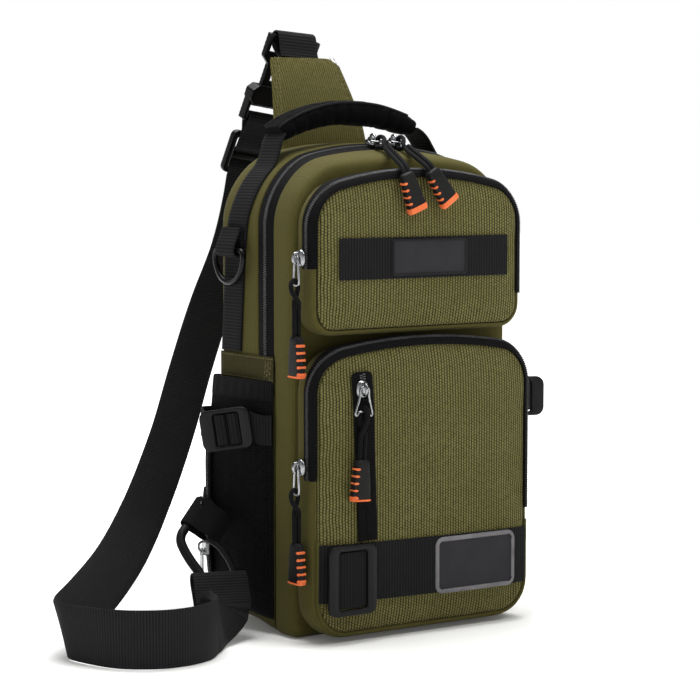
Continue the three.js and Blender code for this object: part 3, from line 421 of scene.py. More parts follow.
# Ribbed polyester tape: fine cords run along it, drawn 1 mm apart so that they show.
def ribbed_tape(name, high, low, rib, cross, relief, sheen):
    made, tree, spot = blank_material(name)
    lay = add(tree, "Attribute", {}, attribute_name="thread")
    way = add(tree, "SeparateXYZ", {"Vector": lay.outputs["Vector"]})
    waves = []
    for socket, pitch in ((way.outputs["X"], cross), (way.outputs["Y"], rib)):
        turn = add(tree, "Math", {0: socket, 1: 2 * math.pi / pitch}, operation="MULTIPLY")
        wave = add(tree, "Math", {0: turn}, operation="SINE")
        waves.append(add(tree, "MapRange", {"Value": wave, "From Min": -1.0}))
    ribs = add(tree, "Mix", {"Factor": 0.15, "A": waves[1], "B": waves[0]})
    fuzz = add(tree, "TexNoise", {"Vector": spot, "Scale": 1 / 0.0016, "Detail": 2.0})
    drift = add(tree, "TexNoise", {"Vector": spot, "Scale": 1 / 0.028, "Detail": 2.0})
    rough_weave = add(tree, "Mix", {"Factor": 0.25, "A": ribs, "B": fuzz})
    worn = add(tree, "Mix", {"Factor": 0.2, "A": rough_weave, "B": drift})
    tone = add(tree, "Mix", {"Factor": worn, "A": linear(low), "B": linear(high)},
               data_type="RGBA")
    bump = add(tree, "Bump", {"Height": rough_weave, "Strength": relief,
                              "Distance": 0.3 * MM})
    rough = add(tree, "MapRange", {"Value": worn, "To Min": 0.85, "To Max": 0.6})
    skin = add(tree, "BsdfPrincipled", {
        "Base Color": tone, "Roughness": rough,
        "Normal": bump, "IOR": 1.5, "Specular IOR Level": 0.04,
        "Sheen Weight": sheen, "Sheen Roughness": 0.4})
    add(tree, "OutputMaterial", {"Surface": skin})
    return made


# Speckled material: colour and gloss vary together from one small patch, grain millimetres across, to the
# next.
def speckled(name, dark, light, grain, smooth, dull, sockets):
    made, tree, spot = blank_material(name)
    speck = add(tree, "TexNoise", {"Vector": spot, "Scale": 1 / (grain * MM)})
    tone = add(tree, "Mix", {"Factor": speck, "A": linear(dark), "B": linear(light)}, data_type="RGBA")
    gloss = add(tree, "MapRange", {"Value": speck, "To Min": smooth, "To Max": dull})
    skin = add(tree, "BsdfPrincipled", {"Base Color": tone, "Roughness": gloss, **sockets})
    add(tree, "OutputMaterial", {"Surface": skin})
    return made


# Nylon coil: smooth extruded filament with a gloss of its own, painted dark grey with paler speckles, a
# painted highlight that lifts each loop into a pale dot.
coil_nylon_painted_glints = speckled("nylon_coil_painted_glints", "#131314", "#4c4c4f", 1.5, 0.25, 0.45, {"IOR": 1.53})
zip_tape = ribbed_tape("black_polyester_zip_tape", "#131213", "#070707", 1.0, 1.1, 0.4, 0.01)
TOOTH_PITCH = 1.55


def coil(node, line, lie, tooth, apart, first, up=None):
    """Two rows of teeth along a zip's line, half a pitch out of step. Each lies along lie and stands up."""
    given = [np.broadcast_to(np.asarray(way, float), line.shape) for way in (lie, up) if way is not None]
    for word, shift, start in (("a", apart, first), ("b", -apart, first + TOOTH_PITCH / 2)):
        spots, runs, *ways = resample(line, TOOTH_PITCH, start, *given)
        lies, *ups = map(unit, ways)
        ways = (lies, runs, ups[0] if ups else np.cross(lies, runs))
        teeth = scatter(f"{node}_coil_{word}", pill(*tooth), spots + lies * shift, ways, coil_nylon_painted_glints)
        fix(teeth, "zip_tape", node)


ZIP_MIDDLE, TAPE_SUNK = -10.4, 1.2
TAPE_BACK, TAPE_FRONT = ZIP_BACK - 0.3, ZIP_FRONT + 0.3
section = [(0, TAPE_BACK), (0.7, TAPE_BACK), (0.9, TAPE_BACK - 0.5), (0.95, ZIP_MIDDLE + 3),
           (1.15, ZIP_MIDDLE + 2.4), (1.15, ZIP_MIDDLE - 2.4), (0.95, ZIP_MIDDLE - 3),
           (0.9, TAPE_FRONT + 0.5), (0.7, TAPE_FRONT), (0, TAPE_FRONT)]
chosen = np.flatnonzero(outline(BODY, 0, ZIP_MIDDLE)[:, 1] > BAND_TOP - 8)
rows = np.stack([ring_at(BODY, TAPE_SUNK - out, y)[chosen] for out, y in section], 1)
lay = threads([y for _, y in section], lengthwise(rows[:, 4]))
fix(lofted("main_zip_tape", rows, zip_tape, thread=lay), "zip_tape", "main_zip")
coil("main_zip", ring_at(BODY, TAPE_SUNK - 1.3, ZIP_MIDDLE)[chosen], (0, 1, 0), (1.7, 0.95, 1.1), 0.8, 0.4)

# Front pockets: each is a gusset strip sewn to the body by its rim, and a face panel of coarser oxford
# cloth sewn into the gusset by a sunk seam. Each has a zip round the top of its gusset.
oxford = woven_cloth("olive_polyester_oxford", "#716d42", "#0b0903", (2.2, 1.9), 0.9, "#423e1b", 0.3)
UPPER = {"half": 85.0, "bottom": 200.0, "top": 293.0, "top_radius": 22.0, "depth": [0], "crown": [14],
         "low_radius": [16], "counts": (18, 7, 16, 9, 16)}
LOWER = {"half": 88.5, "bottom": 2.5, "top": 187.0, "top_radius": 24.0, "depth": [0], "crown": [10],
         "low_radius": [26], "counts": (16, 9, 34, 9, 16)}
UPPER_GUSSET = [(1.0, -43.5), (0.5, -45.5), (0, -48), (0, -51.5), (0, -55), (0, -58), (0.5, -60),
                (1.5, -61.3), (2.8, -61.8), (3.8, -61.2)]
UPPER_FACE = [(3.6, -60.8), (4.4, -62.2), (6.2, -63.0), (9, -63.4), (13, -63.7), (18, -64), (24, -64.3),
              (30, -64.5), (36, -64.7), (41, -64.9), (44, -65)]
LOWER_GUSSET = [(4.8, -43.5), (2.6, -46), (1, -49), (0.2, -52), (0, -54), (0, -57), (0, -60), (0, -63),
                (0.6, -65.2), (1.6, -66.6), (2.8, -67.2), (3.8, -66.6)]
LOWER_FACE = [(3.6, -66.2), (4.4, -67.8), (6.4, -68.8), (10, -69.2), (15, -69.6), (21, -70), (28, -70.4),
              (35, -70.8), (43, -71.1), (51, -71.4), (59, -71.6), (67, -71.8), (75, -71.9), (82, -72),
              (86.5, -72)]
GUSSET_CLOTH, FACE_CLOTH = 1.6, 1.4
rng = np.random.default_rng(7)
faces_of = {}
POCKETS = [("upper_pocket", UPPER, UPPER_GUSSET, UPPER_FACE, 1.6),
           ("lower_pocket", LOWER, LOWER_GUSSET, LOWER_FACE, 1.8)]
for node, form, gusset, panel, swell in POCKETS:
    middle = (0, -40, (form["bottom"] + form["top"]) / 2)
    rings = [ring_at(form, inset, y) for inset, y in gusset]
    around = len(rings[0])
    walls = lofted(node + "_gusset", rings, pack_cloth, ends="", away=middle)
    fix(thicken(walls, GUSSET_CLOTH), "pocket_cloth", node)
    rings = [ring_at(form, inset, y) for inset, y in panel]
    pucker = np.convolve(np.tile(rng.normal(0, 1, around), 3), np.ones(3) / 3, "same")[around:2 * around]
    for k, (ring, (inset, _)) in enumerate(zip(rings, panel)):
        if k > 1:
            ring[:, 1] += 0.55 * pucker * math.exp(-inset / 11)
    face = lofted(node + "_face", rings, oxford, ends="last", away=middle)
    inflate(face, range(around * 2), 3.0, swell, spare=0.012)
    fix(thicken(face, FACE_CLOTH), "pocket_cloth", node)
    skins = [walls.data, face.data]
    spots = [v.co.copy() for skin in skins for v in skin.vertices]
    sides = [tuple(i + k * len(walls.data.vertices) for i in p.vertices)
             for k, skin in enumerate(skins) for p in skin.polygons]
    faces_of[node] = BVHTree.FromPolygons(spots, sides)


def wrapped_zip(node, form, left, rest, seats, keep):
    """Zip whose tape wraps a pocket's front edge: narrow down the left, wider from the left corner on."""
    chosen = np.flatnonzero(keep(outline(form, 0, 0)))
    share = np.clip((outline(form, 0, 0)[chosen, 0] + form["half"]) / 16, 0, 1)[:, None]

    def lines(pairs, out):
        made = []
        for path in pairs:
            path = np.array(path, float)
            way = unit(np.gradient(path, axis=0))
            lifted = path + np.stack([way[:, 1], -way[:, 0]], 1) * out
            made.append(np.stack([ring_at(form, inset, y)[chosen] for inset, y in lifted], 1))
        return made[0] * (1 - share[:, None]) + made[1] * share[:, None]

    rows = np.concatenate([lines((left, rest), 1.0), lines((left, rest), -0.2)[:, ::-1]], 1)
    width = 2.0 * np.concatenate([np.arange(len(left)), np.arange(len(left))[::-1]])
    tape = lofted(node + "_tape", rows, zip_tape, thread=threads(width, lengthwise(rows[:, 2])))
    fix(tape, "zip_tape", node)
    seats = [[np.subtract(at, way), at, np.add(at, way)] for at, way in seats]
    bed, top = lines(seats, 1.2), lines(seats, 2.2)
    coil(node, bed[:, 1], bed[:, 2] - bed[:, 0], (1.5, 0.9, 1.1), 0.7, 0.4, up=top[:, 1] - bed[:, 1])


wrapped_zip("upper_pocket_zip", UPPER,
            [(0, -51.5), (0, -53.5), (0, -56), (0.2, -58.4), (0.8, -60.2), (1.9, -61.6), (3.6, -62.6)],
            [(0, -50.5), (0, -53), (0, -56), (0.3, -58.6), (1.2, -60.9), (2.6, -62.2), (5.0, -63.1)],
            [((0, -56.4), (0, -1)), ((0.75, -59.8), (0.36, -0.93))],
            lambda p: p[:, 1] > np.where(p[:, 0] < 0, 241, 222))
wrapped_zip("lower_pocket_zip", LOWER,
            [(0, -58.5), (0, -60.5), (0, -62.6), (0.1, -64.6), (0.5, -66.2), (1.2, -67.4), (2.4, -68.4)],
            [(0, -56), (0, -58.5), (0, -61.5), (0.3, -64.2), (1.2, -66.5), (2.6, -68), (5.0, -69.1)],
            [((0, -62.4), (0, -1)), ((0.75, -65.4), (0.36, -0.93))],
            lambda p: p[:, 1] > np.where(p[:, 0] < 0, 107, 75))


def rod(name, points, radius, finish, slot, *nodes, sides=10, loop=False, body="bag", side=(0, 0, 1)):
    """Round wire or cord through points."""
    at = np.asarray(points, float)
    run = unit((np.roll(at, -1, 0) - np.roll(at, 1, 0)) if loop else np.gradient(at, axis=0))
    first = unit(side - run * np.sum(run * side, 1, keepdims=True))
    second = np.cross(run, first)
    angle = 2 * np.pi * np.arange(sides) / sides
    radius = np.broadcast_to(radius, len(at))[:, None, None]
    rows = (at[:, None] + radius * (first[:, None] * np.cos(angle)[None, :, None]
                                    + second[:, None] * np.sin(angle)[None, :, None]))
    return fix(lofted(name, rows, finish, loop), slot, *nodes, body=body)


piping = ring_at(LOWER, 3.4, -68.2)
low_edge = piping[:, 2] < 70
half_way = len(piping) // 2
piping = np.concatenate([piping[half_way:][low_edge[half_way:]], piping[:half_way][low_edge[:half_way]]])
rod("lower_pocket_piping", piping, 1.2, pack_cloth, "pocket_cloth", "lower_pocket", sides=8, side=(0, 1, 0))


# Bands across the pockets: black polyester webbing, sewn down at its ends, with a moulded rubber patch on
# each. The bands lie on the pocket faces and follow their swell.
def depth_on(node, x, z):
    hit = faces_of[node].ray_cast(Vector((x * MM, -0.2, z * MM)), Vector((0, 1, 0)))
    return hit[0].y / MM if hit[0] else None


def webbing(name, at, across, half, thick, finish, slot, node):
    """Flat woven band through points, with rounded selvedges. across is the way that its width points."""
    at = np.asarray(at, float)
    across = np.broadcast_to(np.asarray(across, float), at.shape)
    half = np.broadcast_to(half, len(at))[:, None]
    normal = unit(np.cross(unit(np.gradient(at, axis=0)), across))
    flat = [-0.955, -0.7, -0.35, 0.0, 0.35, 0.7, 0.955]
    section = [(a, 1.0) for a in flat] + [(0.99, 0.7), (1.0, 0.0), (0.99, -0.7)]
    section += [(a, -1.0) for a in flat[::-1]] + [(-0.99, -0.7), (-1.0, 0.0), (-0.99, 0.7)]
    rows = np.stack([at + across * half * a + normal * thick / 2 * b for a, b in section], 1)
    lay = threads([half[:, 0] * a for a, _ in section], lengthwise(at))
    return fix(lofted(name, rows, finish, thread=lay), slot, node)


BAND_LIFT, WEB_THICK = 0.35, 1.4


def draped_band(name, pocket, start, end, half, thick, finish, slot, node, stations=60):
    """Band that lies on a pocket's face between two places (x, z)."""
    t = np.linspace(0, 1, stations)[:, None]
    flat = np.array(start) * (1 - t) + np.array(end) * t
    run = unit(np.subtract(end, start))
    across = np.array([run[1], -run[0]])
    halves = np.broadcast_to(half, stations)
    depth = []
    for at, reach in zip(flat, halves):
        hits = [depth_on(pocket, *(at + across * reach * s)) for s in (-0.9, -0.5, 0, 0.5, 0.9)]
        depth.append(min(h for h in hits if h is not None))
    depth = np.convolve(np.pad(depth, 2, "edge"), np.ones(5) / 5, "valid") - BAND_LIFT - thick / 2
    at = np.stack([flat[:, 0], depth, flat[:, 1]], 1)
    return webbing(name, at, (across[0], 0, across[1]), halves, thick, finish, slot, node)


# Woven webbing: cross ribs about 2 mm apart with a dull nap.
strap_webbing = ribbed_tape("black_polyester_webbing", "#232324", "#0c0c0d", 2.2, 1.8, 0.6, 0.02)
draped_band("upper_band_webbing", "upper_pocket", (-67, 249.5), (69.5, 249.5), 13.5, WEB_THICK,
            strap_webbing, "webbing", "upper_band")
draped_band("lower_band_webbing", "lower_pocket", (-85.2, 46.8), (83.2, 44.6), 19, WEB_THICK,
            strap_webbing, "webbing", "lower_band")


def rounded(wide, tall, radius, per=7):
    """Outline of a plate with rounded corners, as points (x, z)."""
    made = []
    for start, cx, cz in ((-90, 1, -1), (0, 1, 1), (90, -1, 1), (180, -1, -1)):
        x, z = cx * (wide - radius), cz * (tall - radius)
        for a in np.radians(start + 90 * np.arange(per) / (per - 1)):
            made.append((x + radius * math.cos(a), z + radius * math.sin(a)))
    return np.array(made)


# Moulded soft rubber: fine leather-like grain and a dull gloss, paler on the raised rim that hands rub.
def moulded_rubber(name, base, worn, rough):
    made, tree, spot = blank_material(name)
    grit = add(tree, "TexNoise", {"Vector": spot, "Scale": 1 / 0.0009, "Detail": 3.0})
    cloud = add(tree, "TexNoise", {"Vector": spot, "Scale": 1 / 0.012, "Detail": 2.0})
    tone = add(tree, "Mix", {"Factor": cloud, "A": linear(base), "B": linear(worn)}, data_type="RGBA")
    gloss = add(tree, "MapRange", {"Value": grit, "To Min": rough - 0.08, "To Max": rough + 0.1})
    bump = add(tree, "Bump", {"Height": grit, "Strength": 0.25, "Distance": 0.1 * MM})
    skin = add(tree, "BsdfPrincipled", {
        "Base Color": tone, "Roughness": gloss,
        "Normal": bump, "IOR": 1.5, "Specular IOR Level": 0.12})
    add(tree, "OutputMaterial", {"Surface": skin})
    return made


patch_rubber = moulded_rubber("moulded_pvc_patch_field", "#212023", "#2b2a2d", 0.55)
rim_rubber = moulded_rubber("worn_grey_pvc_patch_rim", "#4c4a4c", "#807e80", 0.6)
dark_rim = moulded_rubber("dark_pvc_patch_rim", "#131214", "#1d1c1e", 0.55)


def patch(node, at, wide, tall, thick, radius, rim_wide, edging):
    """Rubber patch: a dished field inside a raised, rounded rim."""
    x, y, z = at
    front = y - thick / 2
    profile = [(0, thick), (0, 0.7), (0.25, 0.2), (0.7, 0), (rim_wide, 0), (rim_wide + 0.35, 0.25),
               (rim_wide + 0.55, 0.7), (rim_wide + 3, 0.8), (tall * 0.6, 0.75)]
    rows = []
    for inset, depth in profile:
        edge = rounded(wide - inset, tall - inset, max(radius - inset, 0.5))
        rows.append(np.stack([x + edge[:, 0], np.full(len(edge), front + depth), z + edge[:, 1]], 1))
    made = lofted(node + "_rubber", rows, edging, crease=40)
    made.data.materials.append(patch_rubber)
    for face in made.data.polygons:
        dx, dz = abs(face.center.x / MM - x) - wide + radius, abs(face.center.z / MM - z) - tall + radius
        inset = radius - (math.hypot(dx, dz) if min(dx, dz) > 0 else max(dx, dz))
        face.material_index = 1 if inset > rim_wide + 0.2 or face.center.y / MM > front + 0.9 else 0
    fix(made, "patch", node)


patch("upper_patch", (3.6, -68.4, 249.8), 30.5, 12.0, 2.2, 2.6, 1.4, dark_rim)
patch("lower_patch", (37.0, -75.0, 44.6), 33.3, 19.0, 2.4, 6.0, 2.6, rim_rubber)

# Face zip: a short upright zip let into the lower pocket's face. Its coil is turned to the inside, so that
# only the two halves of its tape show, with a few open loops above the slider.
FACE_TOP, FACE_LOW, FACE_ROUND = np.array([-54.0, 0, 177.0]), np.array([-49.8, 0, 66.8]), 3.5
down = np.linspace(0, np.linalg.norm(FACE_LOW - FACE_TOP), 110)
corner = np.maximum(FACE_ROUND - down, 0)
face_half = np.interp(down, [0, down[-1]], [8.2, 7.3]) - FACE_ROUND + np.sqrt(FACE_ROUND ** 2 - corner ** 2)
draped_band("face_zip_tape", "lower_pocket", FACE_TOP[[0, 2]], FACE_LOW[[0, 2]], face_half, 1.2, zip_tape,
            "zip_tape", "face_zip", stations=len(down))
line = np.stack([FACE_TOP * (1 - t) + FACE_LOW * t for t in np.linspace(0, 1, 60)])
line[:, 1] = [depth_on("lower_pocket", x, z) - 1.9 for x, _, z in line]
zip_side = unit(np.cross(FACE_LOW - FACE_TOP, (0, 1, 0)))
OPEN_LOOPS = 6
coil("face_zip", line[:OPEN_LOOPS + 1], zip_side, (2.3, 0.95, 1.1), 1.15, 1.5)
welt = line[OPEN_LOOPS:] + (0, 0.25, 0)
webbing("face_zip_welt", welt, zip_side, 0.9, 0.9, zip_tape, "zip_tape", "face_zip")


# Band ring and keeper: a flat loop, moulded in one piece from ABS, that lies on the lower band. A strip of
# webbing runs through its window and is sewn to the band.
# Moulded ABS: satin black from a spark-eroded mould, slightly paler where edges have rubbed.
def moulded_abs(name, base, worn, rough, grain):
    made, tree, spot = blank_material(name)
    spark = add(tree, "TexNoise", {"Vector": spot, "Scale": 1 / (grain * MM), "Detail": 3.0})
    rubbed = add(tree, "TexNoise", {"Vector": spot, "Scale": 1 / 0.009, "Detail": 3.0})
    shape = add(tree, "NewGeometry", {})
    edge = add(tree, "MapRange", {"Value": shape.outputs["Pointiness"], "From Min": 0.52, "From Max": 0.62})
    wear = add(tree, "Math", {0: edge, 1: rubbed}, operation="MULTIPLY")
    tone = add(tree, "Mix", {"Factor": wear, "A": linear(base), "B": linear(worn)}, data_type="RGBA")
    gloss = add(tree, "MapRange", {"Value": rubbed, "To Min": rough - 0.08, "To Max": rough + 0.1})
    bump = add(tree, "Bump", {"Height": spark, "Strength": 0.2, "Distance": 0.08 * MM})
    skin = add(tree, "BsdfPrincipled", {
        "Base Color": tone, "Roughness": gloss,
        "Normal": bump, "IOR": 1.54, "Specular IOR Level": 0.14})
    add(tree, "OutputMaterial", {"Surface": skin})
    return made


black_abs = moulded_abs("satin_black_moulded_abs", "#0c0c0d", "#232325", 0.4, 0.7)


def moulded(node, finish, slot, voxel, ease):
    """Moulded copy of a solid, with all its edges eased as a mould leaves them."""
    made = bpy.data.objects.new(node + "_moulding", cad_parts[node].data.copy())
    made.data.materials.clear()
    bpy.context.collection.objects.link(made)
    grid = made.modifiers.new("even_mesh", "REMESH")
    grid.mode = "VOXEL"
    grid.voxel_size = voxel * MM
    grid.use_smooth_shade = True
    soften = made.modifiers.new("eased_edges", "SMOOTH")
    soften.factor = 0.5
    soften.iterations = ease
    settle(made)
    made.data.materials.clear()
    made.data.materials.append(finish)
    made.data.shade_smooth()
    return fix(made, slot, node)


def moulded_frame(node, at, wide_way, tall_way, outer, inner, thick, finish):
    """Flat moulded frame with eased edges. Each outline is (half width, half height, radius, shift up)."""
    at, wide_way, tall_way, ease = np.array(at), np.array(wide_way), np.array(tall_way), 1.0
    face, half, slight = np.cross(wide_way, tall_way), thick / 2, 0.3 * ease
    edges = [(outer, 0, ease - half), (outer, 0, half - ease), (outer, slight, half - slight),
             (outer, ease, half), (inner, -ease, half), (inner, -slight, half - slight),
             (inner, 0, half - ease), (inner, 0, ease - half), (inner, -slight, slight - half),
             (inner, -ease, -half), (outer, ease, -half), (outer, slight, slight - half)]
    rows = []
    for (wide, tall, radius, shift), inset, off in edges:
        flat = rounded(wide - inset, tall - inset, max(radius - inset, 0.4))
        rows.append(at + flat[:, :1] * wide_way + (flat[:, 1:] + shift) * tall_way + off * face)
    fix(lofted(node + "_moulding", rows, finish, loop=True, crease=60), "plastic", node)


ring_at_band = np.array([-62.6, -74.9, 42.1])
moulded_frame("band_ring", ring_at_band, (1, 0, 0), (0, 0, 1), (18.7, 23.1, 6.0, 0), (11.5, 19.2, 2.6, 0),
              3.2, black_abs)
keeper_at = np.array([ring_at_band + (10.4 * t, 0.2 + 0.9 * t ** 4, 0) for t in np.linspace(-1, 1, 21)])
webbing("ring_keeper_webbing", keeper_at, (0, 0, 1), 18.5, WEB_THICK, strap_webbing, "webbing",
        "ring_keeper")

# Side pockets: knitted polyester mesh that bulges from each side of the body, gathered into an elastic
# edge. A strip of pack cloth, painted darker as painted shade, covers the seam above each, with paler
# stitching.
REAR_SEAM = 44
PLAN = np.array([(REAR_SEAM, 0.6), (48, 2.8), (48.5, 7), (45, 10.5), (35, 12.5), (15, 12.5), (0, 11),
                 (-12, 7), (-18.5, 3.4), (-21.5, 1.1)])
MESH_FOOT, EDGE_LOW, EDGE_TOP = 10, 155, 168.8
BULGE = np.array([(MESH_FOOT, 0), (16, 0.5), (28, 0.85), (45, 1), (110, 1.02), (130, 0.96), (EDGE_LOW, 0.7),
                  (168, 0.56)])


def course(points, per, loop=False):
    """Smooth line through points, with per steps from each to the next."""
    pts = np.asarray(points, float)
    ends = [pts[-1], *pts, pts[0], pts[1]] if loop else [2 * pts[0] - pts[1], *pts, 2 * pts[-1] - pts[-2]]
    made = []
    for p0, p1, p2, p3 in zip(ends, ends[1:], ends[2:], ends[3:]):
        a, b, c = (max(np.linalg.norm((q - p)[:3]) ** 0.5, 1e-3) for p, q in ((p0, p1), (p1, p2), (p2, p3)))
        m1 = ((p1 - p0) / a - (p2 - p0) / (a + b) + (p2 - p1) / b) * b
        m2 = ((p2 - p1) / b - (p3 - p1) / (b + c) + (p3 - p2) / c) * b
        for t in np.arange(per) / per:
            made.append((2 * t**3 - 3 * t**2 + 1) * p1 + (t**3 - 2 * t**2 + t) * m1
                        + (-2 * t**3 + 3 * t**2) * p2 + (t**3 - t**2) * m2)
    if not loop:
        made.append(pts[-1])
    return np.array(made)


def wall_at(y, z):
    r = np.interp(y, BODY["depth"], BODY["low_radius"])
    return BODY["half"] - (r - math.sqrt(max(r * r - (r - z) ** 2, 0)) if z < r else 0)


plan = course(np.column_stack([PLAN, np.zeros(len(PLAN))]), 8)[:, :2]


def mesh_row(side, z, fold):
    """One level of a side pocket, from its rear seam to its front seam."""
    share = np.interp(z, BULGE[:, 0], BULGE[:, 1])
    row = []
    for k, (y, out) in enumerate(plan):
        rear = REAR_SEAM + (y - REAR_SEAM) * share if y > REAR_SEAM - 4 else y
        bulge = out if k == 0 else 1.3 + (out - 1.3) * share
        row.append((side * (wall_at(y, z) + bulge + fold[k]), rear, z))
    return np.array(row)


# Knitted mesh: black polyester with rows of small holes. The holes are drawn 2.4 mm apart so that they
# show.
side_mesh, tree, spot = blank_material("black_knitted_polyester_mesh")
lay = add(tree, "Attribute", {}, attribute_name="thread")
grid = add(tree, "Mapping", {"Vector": lay.outputs["Vector"], "Scale": (1 / 2.4, 1 / 1.9, 1.0)})
holes = add(tree, "TexVoronoi", {"Vector": grid, "Scale": 1.0, "Randomness": 0.25})
fuzz = add(tree, "TexNoise", {"Vector": spot, "Scale": 1 / 0.0018, "Detail": 2.0})
knit = add(tree, "MapRange", {"Value": holes, "From Min": 0.12, "From Max": 0.5})
tone = add(tree, "Mix", {"Factor": knit, "A": linear("#010101"), "B": linear("#0f0f10")},
           data_type="RGBA")
rough = add(tree, "MapRange", {"Value": fuzz, "To Min": 0.55, "To Max": 0.8})
bump = add(tree, "Bump", {"Height": knit, "Strength": 0.6, "Distance": 0.4 * MM})
skin = add(tree, "BsdfPrincipled", {
    "Base Color": tone, "Roughness": rough, "Normal": bump,
    "IOR": 1.5, "Specular IOR Level": 0.03, "Sheen Weight": 0.01, "Sheen Roughness": 0.4})
add(tree, "OutputMaterial", {"Surface": skin})

# Sewing thread: twisted polyester, paler than the cloth, with a soft gloss.
pale_thread = speckled("olive_polyester_thread", "#48441f", "#666136", 0.8, 0.68, 0.72,
                       {"Specular IOR Level": 0.3})
STITCH, STITCH_PITCH = 2.4, 3.4
elastic = ribbed_tape("black_knitted_elastic", "#19191a", "#060607", 1.6, 2.4, 0.5, 0.02)
# Side band cloth: the pack cloth painted darker, a painted shade on the bands.
band_cloth_painted_shade = woven_cloth("olive_pack_cloth_painted_shade", "#37341a", "#27240d", (1.7, 1.4), 0.4, "#29260e", 0.4)


def stitches(name, line, out, slot):
    """Row of stitches along a line, lying on the cloth that faces out."""
    spots, runs = resample(np.asarray(line, float), STITCH_PITCH, 1.0)
    out = np.broadcast_to(np.asarray(out, float), spots.shape)
    side = unit(np.cross(out, runs))
    fix(scatter(name, pill(STITCH, 0.6, 0.45, 6), spots, (runs, side, out), pale_thread), slot)


for side, word in ((-1, "left"), (1, "right")):
    folds = rng.normal(0, 1, (3, len(plan)))
    folds = np.stack([np.convolve(np.pad(f, 4, "edge"), np.hanning(9) / 4, "valid") for f in folds])
    heights = np.concatenate([np.linspace(MESH_FOOT, 28, 8), np.linspace(31, EDGE_LOW + 2, 38)])
    rows = []
    for z in heights:
        t = (z - MESH_FOOT) / (EDGE_LOW - MESH_FOOT)
        hold = math.sin(math.pi * min(max(t, 0), 1) ** 0.8)
        wave = 0.5 * folds[0] + 0.5 * folds[1] * math.sin(3.1 * t + 1) + 0.4 * folds[2] * math.sin(7 * t)
        rows.append(mesh_row(side, z, np.maximum(wave * hold, -0.8) * np.clip(np.arange(len(plan)) / 12, 0, 1)
                             * np.clip((len(plan) - 1 - np.arange(len(plan))) / 12, 0, 1)))
    around = lengthwise(rows[20])
    lay = np.concatenate([np.stack(np.broadcast_arrays(around, z, 0.0), 1) for z in heights])
    knit_mesh = lofted(f"{word}_mesh_knit", rows, side_mesh, ends="", wrap=False, thread=lay,
                       away=(0, 12, 85))
    fix(thicken(knit_mesh, 0.9), "mesh", f"{word}_mesh")
    rows, lay = [], []
    for z in np.linspace(EDGE_LOW, EDGE_TOP, 7):
        share = (z - EDGE_LOW) / (EDGE_TOP - EDGE_LOW)
        ruck = 0.25 * np.sin(np.arange(len(plan)) * 1.3) * math.sin(math.pi * share)
        rows.append(mesh_row(side, z, ruck + 0.3))
        lay.append(np.stack(np.broadcast_arrays(z, around, 0.0), 1))
    edge = lofted(f"{word}_elastic_edge", rows, elastic, ends="", wrap=False, thread=np.concatenate(lay),
                  away=(0, 12, 161))
    fix(thicken(edge, 1.6), "webbing", f"{word}_mesh_edge")

    bend = course([(88.9, -21.7, 0), (88.9, 0, 0), (88.9, 20, 0), (88.9, 40, 0), (87.9, 44.8, 0)], 6)
    middle, half = (BAND_TOP + BAND_BOTTOM) / 2, (BAND_TOP - BAND_BOTTOM) / 2
    strip = np.stack([side * bend[:, 0], bend[:, 1], np.full(len(bend), middle)], 1)
    webbing(f"{word}_band_cloth_painted_shade", strip, (0, 0, 1), half, 1.1, band_cloth_painted_shade, "body_cloth", f"{word}_band")
    for row, z in (("top", BAND_TOP - 1.6), ("low", BAND_BOTTOM + 1.6)):
        sewn = np.stack([side * (bend[:, 0] + 0.6), bend[:, 1], np.full(len(bend), z)], 1)
        stitches(f"{word}_band_stitch_{row}", sewn, (side, 0, 0), "body_cloth")
    tack = [(side * 89.6, -19.5 + 1.6 * k, BAND_BOTTOM + (3 if k % 2 else 14)) for k in range(6)]
    stitches(f"{word}_band_tack", tack, (side, 0, 0), "body_cloth")

# Rear zip: a narrow coil zip on black polyester tape, up the back of the left side pocket. It is sewn to
# the mesh close to the rear seam.
rear_out, rear_across = unit((-1, 0.2, 0)), unit((0.2, 1, 0))
heights = np.linspace(34, 126, 40)
shares = np.interp(heights, BULGE[:, 0], BULGE[:, 1])
rear_line = np.stack([-BODY["half"] - 11.5 * shares, np.full(40, 40.2), heights], 1) + rear_out * 1.9
webbing("rear_zip_tape", rear_line, rear_across, 4.6, 1.1, zip_tape, "zip_tape", "rear_zip")
coil("rear_zip", rear_line + rear_out * 0.8, rear_across, (2.0, 0.95, 1.0), 1.0, 0.0, up=rear_out)

# Side straps and locks: 20 mm webbing from the front seam, through a moulded lock, round to the rear seam.
# In the lock's window the strap rises in two folds with a gap between them.
THREADED = [(-15, 0), (-10, 0), (-8.8, 0.4), (-7.8, 2.4), (-6.6, 3.3), (-3, 3.3), (-1.7, 2.6), (-0.7, 0.7),
            (0, 0.3), (0.7, 0.7), (1.7, 2.6), (3, 3.3), (6.6, 3.3), (7.8, 2.4), (8.8, 0.4)]
STRAP_END = [(102.8, 46), (99.5, 51.6), (93, 52.4), (84, 51), (77, 50.4)]
SIDE_LOCKS = [
    ("left", -1, (-108.4, 2.5, 136.3), (-0.6, 0.8, 0), (-0.8, -0.6, 0), 9, [(90.9, -22.5), (95, -16.5)],
     [(117, 16), (113, 26), (107, 38)]),
    ("right", 1, (108, -30.1, 148.3), (0.93, -0.37, 0), (-0.37, -0.93, 0), 0, [(88.5, -22.9)],
     [(120, -31), (122, -26), (119, -16), (112, 8), (106.5, 32)]),
]
